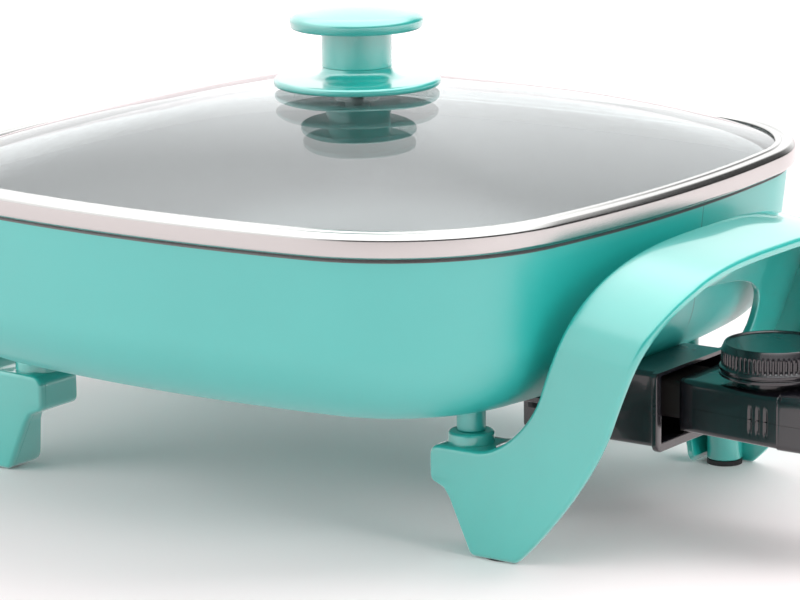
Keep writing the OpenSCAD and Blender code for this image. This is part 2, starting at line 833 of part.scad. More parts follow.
// Heights of the dome over the shrunken rings, flat under the knob's seat
function dome_rise(k) =
    k >= dome_scale ? 0 : dome_h * (1 - (k^2 - seat_scale^2) / (dome_scale^2 - seat_scale^2));

module lid_glass() {
    steps = [seat_scale, 0.22, 0.36, 0.5, 0.63, 0.75, 0.86, dome_scale];
    lower = [for (k = steps) dome_ring(k, glass_z0 + dome_rise(k))];
    rim = [glass_ring(glass_edge / 2, glass_z0), glass_ring(0, glass_z0 + glass_edge / 2),
        glass_ring(0, glass_z1 - glass_edge), glass_ring(glass_edge, glass_z1)];
    upper = [for (i = [len(steps) - 1:-1:0]) dome_ring(steps[i], glass_z1 + dome_rise(steps[i]))];
    color([0.8, 0.84, 0.86, 0.4]) placed() difference() {
        ring_stack(concat(lower, rim, upper));
        translate([0, 0, glass_z0]) cylinder(d = glass_hole_d, h = dome_h + glass_t + over);
    }
}

module lid_band() {
    out = -band_out;
    inner = lid_seat_in;
    top = glass_z1 + gap;
    color(steel) placed() ring_loop([
        [out, bead_z0 + 0.8], [out + 0.6, bead_z0], [inner, bead_z0],
        [inner, rim_z - skirt_h], [inner + sheet_t, rim_z - skirt_h],
        [inner + sheet_t, bead_z1 - 0.4], [inner + sheet_t - 0.4, bead_z1],
        [out + sheet_t, bead_z1], [out + sheet_t, top - glass_edge],
        [out + sheet_t + glass_edge, top], [inner + sheet_t, top + 0.05],
        [inner + sheet_t + 0.3, top + sheet_t / 2], [inner + sheet_t, top + sheet_t],
        [out + 2.2, top + sheet_t - 0.1], [out + 0.7, top], [out, top - 1.6]]);
}

module knob_gasket() {
    color([0.85, 0.85, 0.83]) placed() translate([0, 0, gasket_z]) difference() {
        cylinder(d = gasket_d, h = gasket_t);
        translate([0, 0, -over]) cylinder(d = kscrew_d + 0.6, h = gasket_t + 2 * over);
    }
}

module knob_base() {
    r = base_d / 2;
    neck = stem_knob_d / 2 - 0.2;
    round_r = base_t / 2;
    color(turquoise) placed() translate([0, 0, base_disc_z]) rotate_extrude()
        polygon(concat(
            [[kscrew_d / 2 + 0.15, 0]],
            [for (i = [0:12]) let (a = -90 + 180 * i / 12)
                [r - round_r + round_r * cos(a), round_r + round_r * sin(a)]],
            [for (i = [0:8]) let (a = 90 * i / 8)
                [neck + flare_r * (1 - sin(a)), base_t + flare_h * (1 - cos(a))]],
            [[kscrew_d / 2 + 0.15, base_t + flare_h]]));
}

module knob_top() {
    r = top_d / 2;
    edge = 1.6;
    bore = kscrew_d / 2 + seat;
    depth = kscrew_top - stem_z + 1;
    color(turquoise) placed() translate([0, 0, stem_z]) rotate_extrude()
        polygon(concat(
            [[bore, 0], [stem_knob_d / 2 - 0.3, 0], [stem_knob_d / 2, 0.3],
             [stem_knob_d / 2, stem_knob_h], [r - edge / 2, stem_knob_h],
             [r, stem_knob_h + edge / 2]],
            [for (i = [0:5]) let (a = 90 * i / 5)
                [r - edge + edge * cos(a), stem_knob_h + top_t - edge + edge * sin(a)]],
            [for (i = [1:6]) let (k = 1 - i / 6)
                [(r - edge) * k, stem_knob_h + top_t + top_crown * (1 - k^2)]],
            [[0, depth], [bore, depth]]));
}

module knob_washer() {
    color(steel) placed() translate([0, 0, dome_z - glass_t - kwasher_t - seat]) difference() {
        cylinder(d = kwasher_d, h = kwasher_t);
        translate([0, 0, -over]) cylinder(d = kscrew_d + 0.4, h = kwasher_t + 2 * over);
    }
}

module knob_screw() {
    head_z = dome_z - glass_t - kwasher_t - kscrew_head_h - 2 * seat;
    color(steel) placed() {
        translate([0, 0, head_z]) difference() {
            cylinder(d = kscrew_head_d, h = kscrew_head_h);
            translate([-kscrew_head_d / 2 - over, -0.6, -over])
                cube([kscrew_head_d + 2 * over, 1.2, 1.4 + over]);
        }
        translate([0, 0, head_z + kscrew_head_h - 0.5])
            cylinder(d = kscrew_d, h = kscrew_top - head_z - kscrew_head_h + 0.5);
    }
}

// ---------------------------------------------------------------- control

// Plan outline of the body, "off" inside its outer faces
function body_plan(off) =
    let (w0 = body_w0 / 2 - off,
         w1 = body_w1 / 2 - off,
         wg = grip_half - off,
         xs = grip_start)
    [[body_x0 + off, -w0], [xs - 1.5, -w1], [xs, -wg], [body_x1 - 9, -wg],
     [body_x1 - off, -wg + 5], [body_x1 - off, wg - 5], [body_x1 - 9, wg], [xs, wg],
     [xs - 1.5, w1], [body_x0 + off, w0]];

// Part of that outline from x0 on
module plan_from(off, x0) {
    intersection() {
        polygon(body_plan(off));
        translate([x0, -grip_half - over]) square([body_len + over, 2 * grip_half + 2 * over]);
    }
}

// The body as one solid, with its higher grip end
module body_solid() {
    translate([0, 0, body_z]) linear_extrude(body_h) polygon(body_plan(0));
    translate([0, 0, grip_z0]) linear_extrude(grip_z1 - grip_z0) plan_from(0, grip_start);
}

module body_hollow() {
    translate([0, 0, body_z + shell_t]) linear_extrude(body_h - 2 * shell_t)
        polygon(body_plan(shell_t));
}

module at_case_screws() {
    for (p = case_screw_spots, s = [-1, 1]) translate([p[0], s * p[1], 0]) children();
}

// Everything that both halves of the body make room for
module body_cuts() {
    translate([body_x0 - over, -nose_tail_w / 2 - seat, loop_z - nose_tail_h / 2 - seat])
        cube([shell_t + 2 * over, nose_tail_w + 2 * seat, nose_tail_h + 2 * seat]);
    translate([body_x1 - shell_t - over, 0, inlet_z]) rotate([0, 90, 0])
        cylinder(d = gland_d - 2 + 2 * seat, h = shell_t + 2 * over);
    at_case_screws() translate([0, 0, grip_z0 - over])
        cylinder(d = cscrew_head_d + 0.4, h = 3.4 + over);
    at_case_screws() translate([0, 0, grip_z0])
        cylinder(d = cscrew_d + 2 * seat, h = grip_z1 - grip_z0 - 3);
}

// The upper (1) or lower (-1) half of all space, split at the seam
module half_space(side) {
    reach = 60;
    translate([body_x0 - reach, -reach, side > 0 ? body_mid + seam / 2 : body_mid - seam / 2 - reach])
        cube([body_len + 2 * reach, 2 * reach, reach]);
}

module grip_grooves() {
    for (i = [0:2], s = [-1, 1])
        translate([grip_start - 5.2 - 3.6 * i, s * (body_w1 / 2 - 0.5 * i), body_mid - 5.4])
            cylinder(d = 1.6, h = 10.8, $fn = 16);
}

module body_shell(side) {
    difference() {
        union() {
            difference() {
                body_solid();
                body_hollow();
            }
            at_case_screws() translate([0, 0, body_z + 1])
                cylinder(d = case_boss_d, h = body_h - 2);
        }
        body_cuts();
        half_space(-side);
        translate([nose_x0, -body_w1, body_mid - seam / 2])
            cube([nose_len + 2 * body_len, 2 * body_w1, seam]);
        grip_grooves();
    }
}

module control_base() {
    color(black_gloss) placed() body_shell(-1);
}

module control_cover() {
    color(black_gloss) placed() difference() {
        union() {
            body_shell(1);
            translate([dial_x, 0, body_top - shell_t])
                cylinder(d = seat_d, h = seat_h + shell_t);
        }
        translate([dial_x, 0, body_top - shell_t - over])
            cylinder(d = seat_d - 2 * shell_t, h = seat_h + over);
        translate([dial_x, 0, body_top - shell_t])
            cylinder(d = shaft_d + 2 * run, h = seat_h + shell_t + over);
        translate([lens_x, 0, body_top - shell_t - over])
            cylinder(d = lens_d + 2 * seat, h = shell_t + 3);
    }
}

module control_nose() {
    color([0.12, 0.11, 0.11]) placed() difference() {
        union() {
            translate([nose_x0, -nose_w / 2, loop_z - nose_h / 2])
                cube([nose_len - seat, nose_w, nose_h]);
            translate([body_x0 - 1, -nose_tail_w / 2, loop_z - nose_tail_h / 2])
                cube([nose_tail + 1 - 2, nose_tail_w, nose_tail_h]);
        }
        translate([nose_x0 - over, 0, loop_z]) rotate([0, 90, 0])
            cylinder(d = probe_d + 2 * seat, h = nose_len + nose_tail + 2 * over);
        at_pins() translate([0, 0, nose_x0 - over])
            cylinder(d = contact_d + 2 * seat, h = nose_len + nose_tail + 2 * over);
    }
}

module probe_tube() {
    color(steel) placed() translate([probe_x0, 0, loop_z]) rotate([0, 90, 0]) {
        translate([0, 0, 1.5]) cylinder(d = probe_d, h = probe_x1 - probe_x0 - 1.5);
        cylinder(d1 = probe_d - 2, d2 = probe_d, h = 1.5);
    }
}

// Each contact is a split-free sleeve with a flat tail back to the cord
module contact_sleeves() {
    tail_y = leg_half + 0.6;
    color(brass) placed() {
        at_pins() translate([0, 0, contact_x0]) difference() {
            cylinder(d = contact_d, h = contact_x1 - contact_x0);
            translate([0, 0, -over])
                cylinder(d = pin_d + 2 * run, h = pin_x1 - contact_x0 + 1 + over);
        }
        for (s = [-1, 1]) translate([contact_x1 - 0.5, s * tail_y - 1.4, loop_z - 0.4])
            cube([body_x1 - 20 - contact_x1, 2.8, 0.8]);
    }
}

module thermostat_frame() {
    y0 = -frame_w / 2;
    color(steel) placed() difference() {
        union() {
            translate([frame_x0, y0, frame_z]) cube([frame_x1 - frame_x0, frame_w, strip_t]);
            translate([frame_x0, y0, frame_z])
                cube([strip_t, frame_w, loop_z + sheath_r + 2 - frame_z]);
            for (s = [0, 1]) mirror([0, s, 0])
                translate([dial_x - 6, y0, frame_z]) cube([13.5, strip_t, bridge_z - frame_z + strip_t]);
            translate([dial_x - 6, y0, bridge_z]) cube([13.5, frame_w, strip_t]);
            translate([dial_x, 0, bridge_z]) cylinder(d = bush_out_d, h = strip_t + 1.2);
        }
        translate([frame_x0 - over, 0, loop_z]) rotate([0, 90, 0])
            cylinder(d = probe_d + 2 * seat, h = strip_t + 2 * over);
        at_pins() translate([0, 0, frame_x0 - over])
            cylinder(d = contact_d + 0.8, h = strip_t + 2 * over);
        translate([dial_x, 0, bridge_z - over]) cylinder(d = shaft_d + 2 * run, h = 6);
        translate([stack_x, 0, frame_z - over]) cylinder(d = rivet_d + 2 * seat, h = strip_t + 2 * over);
    }
}

module leaf(z, x1, side) {
    difference() {
        union() {
            translate([leaf_x0, -leaf_w / 2, z]) cube([x1 - leaf_x0, leaf_w, leaf_t]);
            translate([contact_x, 0, side > 0 ? z + leaf_t - 0.1 : z - 0.9])
                cylinder(d = 3.6, h = 1);
        }
        translate([stack_x, 0, z - over]) cylinder(d = rivet_d + 2 * seat, h = leaf_t + 2 * over);
    }
}

module contact_leaf_upper() {
    color(brass) placed() leaf(upper_leaf_z, dial_x + 5, -1);
}

module contact_leaf_lower() {
    color(brass) placed() leaf(lower_leaf_z, contact_x + 3.5, 1);
}

module leaf_insulators() {
    levels = [[frame_z + strip_t, lower_leaf_z], [lower_leaf_z + leaf_t, upper_leaf_z]];
    color(ceramic) placed() for (l = levels)
        translate([stack_x, 0, l[0] + seat / 2]) difference() {
            cylinder(d = leaf_w - 0.6, h = l[1] - l[0] - seat);
            translate([0, 0, -over])
                cylinder(d = rivet_d + 2 * seat, h = l[1] - l[0] + 2 * over);
        }
}

module leaf_rivet() {
    color(steel) placed() translate([stack_x, 0, frame_z - 1]) {
        cylinder(d = rivet_d + 1.8, h = 1 - seat);
        cylinder(d = rivet_d, h = upper_leaf_z + leaf_t - frame_z + 1.6);
        translate([0, 0, upper_leaf_z + leaf_t - frame_z + 1 + seat])
            cylinder(d = rivet_d + 1.8, h = 0.8);
    }
}

module indicator_lens() {
    color([0.8, 0.1, 0.06]) placed() translate([lens_x, 0, 0]) {
        translate([0, 0, body_top - shell_t - 0.5])
            cylinder(d = lens_d, h = grip_z1 - body_top + shell_t + 0.5);
        translate([0, 0, body_top - shell_t - 1]) cylinder(d = lens_d + 2, h = 1 - seat);
        translate([0, 0, grip_z1]) intersection() {
            translate([0, 0, -6.2]) sphere(r = 7.4);
            cylinder(d = lens_d, h = 3);
        }
    }
}

module indicator_lamp() {
    color([0.95, 0.7, 0.5]) placed()
        translate([lens_x - 5, 0, body_top - shell_t - 1 - gap - lamp_d / 2])
            rotate([0, 90, 0]) {
                cylinder(d = lamp_d, h = 10);
                translate([0, 0, 9.5]) cylinder(d = lamp_d - 1, h = 2.5);
            }
}

module control_screws() {
    color(steel) placed() at_case_screws() {
        translate([0, 0, grip_z0 + 1]) cylinder(d = cscrew_head_d, h = 2.4 - seat);
        translate([0, 0, grip_z0 + 2]) cylinder(d = cscrew_d, h = body_h - 7);
    }
}

module cord_gland() {
    color(black_gloss) placed() translate([0, 0, inlet_z]) rotate([0, 90, 0]) difference() {
        union() {
            translate([0, 0, gland_x0]) cylinder(d = gland_d + 1, h = gland_flange_t - gap / 2);
            translate([0, 0, gland_x0 + gland_flange_t / 2])
                cylinder(d = gland_d - 2, h = gland_flange_t + shell_t);
            translate([0, 0, body_x1 + gap / 2]) cylinder(d = gland_d, h = gland_flange_t);
            translate([0, 0, body_x1 + gland_flange_t])
                cylinder(d1 = gland_d - 1, d2 = gland_end_d, h = gland_len - gland_flange_t);
        }
        translate([0, 0, gland_x0 - over])
            cylinder(d = cord_hole_d, h = inlet_x1 - gland_x0 + 2 * over);
    }
}

// ---------------------------------------------------------------- dial

module dial() {
    r = dial_d / 2;
    dish = 1.2;
    rim = 1.8;
    color(black_gloss) placed() translate([dial_x, 0, dial_z]) difference() {
        union() {
            cylinder(r1 = r + skirt_flare, r2 = r, h = skirt_dial_h);
            translate([0, 0, skirt_dial_h - 0.5]) cylinder(r = r, h = dial_h - skirt_dial_h + 0.5);
        }
        translate([0, 0, dial_h - dish]) cylinder(r1 = r - rim - 0.6, r2 = r - rim, h = dish + 0.01);
        translate([0, 0, -over]) cylinder(r = r - 2.4, h = dial_h - 4.5 + over);
        for (i = [0:rib_count - 1]) rotate([0, 0, 360 * i / rib_count])
            translate([r + 0.1, 0, skirt_dial_h + 0.4])
                rotate([0, 0, 45]) translate([-0.45, -0.45, 0])
                    cube([0.9, 0.9, dial_h - skirt_dial_h - 0.4 - band_dial_h]);
    }
    color(black_gloss) placed() translate([dial_x, 0, dial_z + 1]) difference() {
        cylinder(d = shaft_d + 5, h = dial_h - 4);
        translate([0, 0, -over]) cylinder(d = shaft_d + 2 * seat, h = dial_h - 5);
    }
}

module dial_shaft() {
    color(steel) placed() translate([dial_x, 0, 0]) {
        translate([0, 0, shaft_z0 + 3]) cylinder(d = shaft_d, h = dial_z + dial_h - 5.6 - shaft_z0 - 3);
        translate([0, 0, shaft_z0]) cylinder(d1 = 2.4, d2 = shaft_d - 1, h = 3);
    }
}

// Ring that keeps the shaft from rising, just under the bridge
module shaft_clip() {
    color(steel) placed() translate([dial_x, 0, bridge_z - 0.9]) difference() {
        cylinder(d = shaft_d + 4, h = 0.7);
        translate([0, 0, -over]) cylinder(d = shaft_d, h = 3);
    }
}

// ---------------------------------------------------------------- nodes

pan();
element_channel();
heating_element();
terminal_pins();
terminal_bushings();
probe_sleeve();
socket_shroud();
socket_screws();
handle_right();
handle_left();
handle_screws();
handle_washers();
foot_pads();
lid_glass();
lid_band();
knob_base();
knob_top();
knob_gasket();
knob_washer();
knob_screw();
control_base();
control_cover();
control_nose();
probe_tube();
contact_sleeves();
thermostat_frame();
contact_leaf_upper();
contact_leaf_lower();
leaf_insulators();
leaf_rivet();
indicator_lens();
indicator_lamp();
control_screws();
cord_gland();
dial();
dial_shaft();
shaft_clip();
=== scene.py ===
"""Looks of a square electric skillet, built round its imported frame.

The pan, lid, handles, socket, control and dial are rebuilt here as smooth surfaces, and every node that
stays gets a finish of its own.  Sizes are in millimetres measured from the pan's vertical axis, and they
become metres in the frame's own place when a mesh is made.
"""
import logging
import math
from dataclasses import dataclass
from enum import Enum
from typing import Any, Sequence, Union

import bpy
import numpy as np
from mathutils import Matrix, Vector


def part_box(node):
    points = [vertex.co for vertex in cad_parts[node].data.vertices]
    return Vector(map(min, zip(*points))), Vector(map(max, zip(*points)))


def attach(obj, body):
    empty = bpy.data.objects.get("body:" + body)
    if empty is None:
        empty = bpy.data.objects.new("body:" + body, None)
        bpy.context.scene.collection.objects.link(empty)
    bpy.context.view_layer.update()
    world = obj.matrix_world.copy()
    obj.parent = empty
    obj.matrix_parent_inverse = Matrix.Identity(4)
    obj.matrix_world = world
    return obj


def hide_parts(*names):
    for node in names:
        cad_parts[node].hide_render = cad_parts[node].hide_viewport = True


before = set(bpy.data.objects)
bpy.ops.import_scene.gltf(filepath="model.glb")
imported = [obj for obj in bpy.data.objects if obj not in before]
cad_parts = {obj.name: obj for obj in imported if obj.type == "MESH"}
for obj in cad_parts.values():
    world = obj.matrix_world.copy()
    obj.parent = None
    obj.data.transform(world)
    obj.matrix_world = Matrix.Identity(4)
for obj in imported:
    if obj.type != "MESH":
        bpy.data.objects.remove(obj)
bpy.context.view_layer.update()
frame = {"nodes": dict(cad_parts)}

log = logging.getLogger("skillet")

Array = np.ndarray
Number = Union[int, float]
Pair = tuple[float, float]
Triple = tuple[float, float, float]
Colour = Triple

MM = 0.001  # metres in a millimetre
OPEN_SKY = 400.0  # a height above everything
RISING = 40  # points at the end of both edges of a handle that rise without a turn
OUTWARDS = np.array([-1.0, 1.0])  # turns rows of (radius, height) into (inset, height) about an axis
MIRROR_Y = np.array([1.0, -1.0, 1.0])  # the other side of the middle plane
PAN_LOW, PAN_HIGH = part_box("pan")
PAN_X = (PAN_LOW.x + PAN_HIGH.x) / 2


class Body(Enum):
    """The rigid bodies of the frame."""

    SKILLET = "skillet"
    LID = "lid"
    CONTROL = "control"
    DIAL = "dial"


class Along(Enum):
    """The axis along which an outline is carried: the order of (first, second, along) in x, y, z."""

    X = (2, 0, 1)
    Z = (0, 1, 2)


# ------------------------------------------------------------------ surfaces


def unit(v: Array) -> Array:
    """Vectors of length one along the last axis."""
    return v / np.maximum(np.linalg.norm(v, axis=-1, keepdims=True), 1e-12)


def smoothstep(x: Array, low: float, high: float) -> Array:
    """Goes from 0 at low to 1 at high along 3 t^2 - 2 t^3."""
    t = np.clip((x - low) / (high - low), 0.0, 1.0)
    return t * t * (3 - 2 * t)


def fillet(points: Sequence[Sequence[float]], radii: Sequence[float], steps: int = 6) -> Array:
    """A line whose corners are arcs.

    Each corner p with radius r is replaced by the arc that touches both of its sides, r / tan(half angle)
    away from p.

    Args:
        points: The corners, in order.
        radii: One radius per corner; 0 keeps the corner, as at both ends.
        steps: Segments of each arc.

    Returns:
        The points of the rounded line.
    """
    p = np.asarray(points, float)
    line = [p[:1]]
    for before, corner, after, r in zip(p[:-2], p[1:-1], p[2:], radii[1:-1]):
        if r <= 0:
            line.append(corner[None])
            continue
        u, v = unit(before - corner), unit(after - corner)
        half = math.acos(float(np.clip(u @ v, -0.9999, 0.9999))) / 2
        shorter = min(np.linalg.norm(before - corner), np.linalg.norm(after - corner))
        r = min(r, 0.49 * math.tan(half) * shorter)
        centre = corner + unit(u + v) * r / math.sin(half)
        first, last = corner + u * r / math.tan(half) - centre, corner + v * r / math.tan(half) - centre
        side = unit(last - (last @ first) * first / (r * r)) * r
        t = np.linspace(0, math.pi - 2 * half, steps + 1)[:, None]
        line.append(centre + np.cos(t) * first + np.sin(t) * side)
    line.append(p[-1:])
    return np.concatenate(line)


def bezier(*corners: Sequence[float], n: int = 30) -> Array:
    """Cubic Bezier curve a (1-t)^3 + 3 b t (1-t)^2 + 3 c t^2 (1-t) + d t^3.

    Args:
        corners: The four corners a, b, c and d.
        n: Its segments.

    Returns:
        Its points.
    """
    t = np.linspace(0, 1, n + 1)[:, None]
    a, b, c, d = (np.asarray(q, float) for q in corners)
    return a * (1 - t) ** 3 + 3 * b * t * (1 - t) ** 2 + 3 * c * t * t * (1 - t) + d * t**3


def travel(line: Array) -> Array:
    """Distance along a line up to each of its points."""
    return np.concatenate([[0], np.cumsum(np.linalg.norm(np.diff(line, axis=0), axis=1))])


def resample(line: Array, shares: Array) -> Array:
    """Points of a line at given shares of its length.

    Args:
        line: The line.
        shares: The shares, from 0 to 1.

    Returns:
        The points.
    """
    run = travel(line)
    return np.stack([np.interp(shares * run[-1], run, line[:, k]) for k in range(line.shape[1])], axis=1)


def stations(run: Array, step: float) -> Array:
    """Distances along a line: those of its points and one every step, none closer than a quarter step."""
    u = np.unique(np.concatenate([run, np.arange(0, run[-1], step)]))
    return u[np.concatenate([[True], np.diff(u) > step / 4])]


def nearest(line: Array, run: Array, place: Sequence[float]) -> float:
    """Distance along a line up to its point nearest to a place."""
    return float(run[np.argmin(np.linalg.norm(line - np.asarray(place, float), axis=1))])


@dataclass(frozen=True)
class Loop:
    """A closed outline with its outward normals, which a profile is carried round.

    Attributes:
        base: Points of the outline, (n, 2).
        normal: Outward unit normals at those points, (n, 2).
    """

    base: Array
    normal: Array

    @staticmethod
    def circle(radius: float, n: int = 96) -> "Loop":
        """A circle about the axis.

        Args:
            radius: Its radius; 0 leaves only the directions, for profiles that hold radii.
            n: Its points.

        Returns:
            The outline.
        """
        t = np.linspace(0, 2 * math.pi, n, endpoint=False)
        direction = np.stack([np.cos(t), np.sin(t)], axis=1)
        return Loop(direction * radius, direction)

    @staticmethod
    def rectangle(half_a: float, half_b: float, corner: float, n: int = 8,
                  centre: tuple[float, float] = (0, 0)) -> "Loop":
        """A rectangle with round corners of n segments and sides of 6, about a centre.

        Args:
            half_a: Half its first side.
            half_b: Half its second side.
            corner: Radius of its corners.
            n: Segments of each corner.
            centre: Its middle.

        Returns:
            The outline.
        """
        base, normal = [], []
        for q, (sa, sb) in enumerate(((1, 1), (-1, 1), (-1, -1), (1, -1))):
            t = np.radians(90 * q) + np.linspace(0, math.pi / 2, n + 1)
            way = np.stack([np.cos(t), np.sin(t)], axis=1)
            middle = np.array([sa * (half_a - corner), sb * (half_b - corner)])
            base.append(middle + corner * way)
            normal.append(way)
        share = np.linspace(0, 1, 7)[1:-1, None]
        sides = [b[-1:] + (after[:1] - b[-1:]) * share for b, after in zip(base, base[1:] + base[:1])]
        closed = [part for pair in zip(base, sides) for part in pair]
        ways = [np.concatenate([w, np.repeat(w[-1:], len(share), axis=0)]) for w in normal]
        return Loop(np.concatenate(closed) + np.asarray(centre, float), np.concatenate(ways))

    def carry(self, profile: Array, along: Along = Along.Z) -> Array:
        """Carries a profile of [inset, height] points round the outline.

        The point of row i and column j is base_j - inset_i * normal_j, at height_i along the third axis.

        Args:
            profile: Rows of (inset, height).
            along: The axis of the height.

        Returns:
            A grid of points, (rows, columns, 3).
        """
        p = np.asarray(profile, float)
        flat = self.base[None] - p[:, 0, None, None] * self.normal[None]
        height = np.broadcast_to(p[:, 1, None, None], flat.shape[:2] + (1,))
        return np.concatenate([flat, height], axis=2)[..., list(along.value)]

    def scaled(self, factors: Array, heights: Array) -> Array:
        """Rings of the outline shrunk towards its middle: factor * base at each height.

        Args:
            factors: The size of each ring, as a share of the outline.
            heights: The height of each ring.

        Returns:
            A grid of points, (rings, points, 3).
        """
        flat = self.base[None] * np.asarray(factors, float)[:, None, None]
        height = np.broadcast_to(np.asarray(heights, float)[:, None, None], flat.shape[:2] + (1,))
        return np.concatenate([flat, height], axis=2)


class Piece:
    """Closed grids of points that become one mesh object."""

    def __init__(self, name: str) -> None:
        """Starts an empty piece.

        Args:
            name: The name of its object.
        """
        self.name = name
        self.points: list[Array] = []
        self.faces: list[Array] = []
        self.attributes: dict[str, list[Array]] = {}
        self.count = 0

    def grid(self, points: Array, wrap_rows: bool = False, **attributes: Union[Array, float]) -> "Piece":
        """Adds a closed grid.  Its columns always close, and its rows close or end in fans.

        The faces are turned so that the volume they enclose is positive.

        Args:
            points: Grid of points in millimetres, (rows, columns, 3).
            wrap_rows: Whether the last row joins the first.
            attributes: Values per point, or one value for all of them, kept as mesh attributes.

        Returns:
            The piece itself.
        """
        rows, columns = points.shape[:2]
        flat = points.reshape(-1, 3)
        index = np.arange(rows * columns).reshape(rows, columns)
        if wrap_rows:
            index = np.concatenate([index, index[:1]])
        right = np.roll(index, -1, axis=1)
        quads = np.stack([index[:-1], right[:-1], right[1:], index[1:]], axis=-1).reshape(-1, 4)
        triangles = np.zeros((0, 3), int)
        if not wrap_rows:
            middles = np.stack([points[0].mean(0), points[-1].mean(0)])
            flat = np.concatenate([flat, middles])
            first, last = rows * columns, rows * columns + 1
            triangles = np.concatenate([
                np.stack([right[0], index[0], np.full(columns, first)], axis=1),
                np.stack([index[-1], right[-1], np.full(columns, last)], axis=1)])
        parts = np.concatenate([quads[:, [0, 1, 2]], quads[:, [0, 2, 3]], triangles])
        a, b, c = (flat[parts[:, k]] for k in range(3))
        volume = float(np.einsum("ij,ij->", a, np.cross(b, c)))
        if volume < 0:
            quads, triangles = quads[:, ::-1], triangles[:, ::-1]
        self.points.append(flat)
        self.faces += [quads + self.count, triangles + self.count]
        for key, values in attributes.items():
            v = np.broadcast_to(values, (rows, columns)).reshape(-1)
            extra = len(flat) - len(v)
            ends = np.array([v[:columns].mean(), v[-columns:].mean()])[:extra]
            self.attributes.setdefault(key, []).append(np.concatenate([v, ends]))
        self.count += len(flat)
        return self

    def build(self, body: Body, slot: str, node: str, crease: float = 34.0) -> bpy.types.Object:
        """Makes the mesh object in the frame's place and lets it ride on its body.

        Args:
            body: The body it rides on.
            slot: The name of a material slot; it is not used.
            node: The node that it stands for.
            crease: Edges sharper than this angle, in degrees, are not smoothed over.

        Returns:
            The object.
        """
        points = np.concatenate(self.points) * MM + np.array([PAN_X, 0.0, 0.0])
        quads, tris = (np.concatenate([f for f in self.faces if f.shape[1] == n]) for n in (4, 3))
        mesh = bpy.data.meshes.new(self.name)
        mesh.vertices.add(len(points))
        mesh.vertices.foreach_set("co", points.astype(np.float32).ravel())
        corners = np.concatenate([quads.ravel(), tris.ravel()]).astype(np.int32)
        starts = np.concatenate([np.arange(len(quads)) * 4, len(quads) * 4 + np.arange(len(tris)) * 3])
        mesh.loops.add(len(corners))
        mesh.loops.foreach_set("vertex_index", corners)
        mesh.polygons.add(len(starts))
        mesh.polygons.foreach_set("loop_start", starts.astype(np.int32))
        mesh.update(calc_edges=True)
        mesh.validate()
        mesh.polygons.foreach_set("use_smooth", np.ones(len(mesh.polygons), bool))
        mesh.set_sharp_from_angle(angle=math.radians(crease))
        for key, parts in self.attributes.items():
            layer = mesh.attributes.new(key, "FLOAT", "POINT")
            layer.data.foreach_set("value", np.concatenate(parts).astype(np.float32))
        made = bpy.data.objects.new(self.name, mesh)
        bpy.context.scene.collection.objects.link(made)
        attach(made, body.value)
        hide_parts(node)
        log.info("%s: %d points, %d faces", self.name, len(points), len(starts))
        return made


# ------------------------------------------------------------------ shader maths


class Wire:
    """A node's output that takes part in sums as a number would."""

    def __init__(self, graph: "Graph", socket: bpy.types.NodeSocket) -> None:
        """Wraps a socket of a graph."""
        self.graph, self.socket = graph, socket

    def _math(self, operation: str, *values: Union["Wire", Number]) -> "Wire":
        """Adds one Math node."""
        return self.graph.node("ShaderNodeMath", {"operation": operation}, dict(enumerate(values)))

    def __add__(self, other: Union["Wire", Number]) -> "Wire":
        """self + other."""
        return self._math("ADD", self, other)

    def __sub__(self, other: Union["Wire", Number]) -> "Wire":
        """self - other."""
        return self._math("SUBTRACT", self, other)

    def __rsub__(self, other: Number) -> "Wire":
        """other - self."""
        return self._math("SUBTRACT", other, self)

    def __mul__(self, other: Union["Wire", Number]) -> "Wire":
        """self * other."""
        return self._math("MULTIPLY", self, other)

    def __pow__(self, other: Number) -> "Wire":
        """self to a power."""
        return self._math("POWER", self, other)

    __radd__ = __add__
    __rmul__ = __mul__

    def size(self) -> "Wire":
        """The value without its sign."""
        return self._math("ABSOLUTE", self)

    def clamp(self) -> "Wire":
        """The value kept between 0 and 1."""
        return self.graph.node("ShaderNodeClamp", {}, {0: self})

    def ramp(self, low: float, high: float) -> "Wire":
        """A smooth step.

        Args:
            low: Where it is still 0.
            high: Where it is 1; below low for a falling step.

        Returns:
            The value.
        """
        ends = {1: low, 2: high, 3: 0.0, 4: 1.0} if low < high else {1: high, 2: low, 3: 1.0, 4: 0.0}
        return self.graph.node("ShaderNodeMapRange", {"interpolation_type": "SMOOTHSTEP"}, {0: self, **ends})


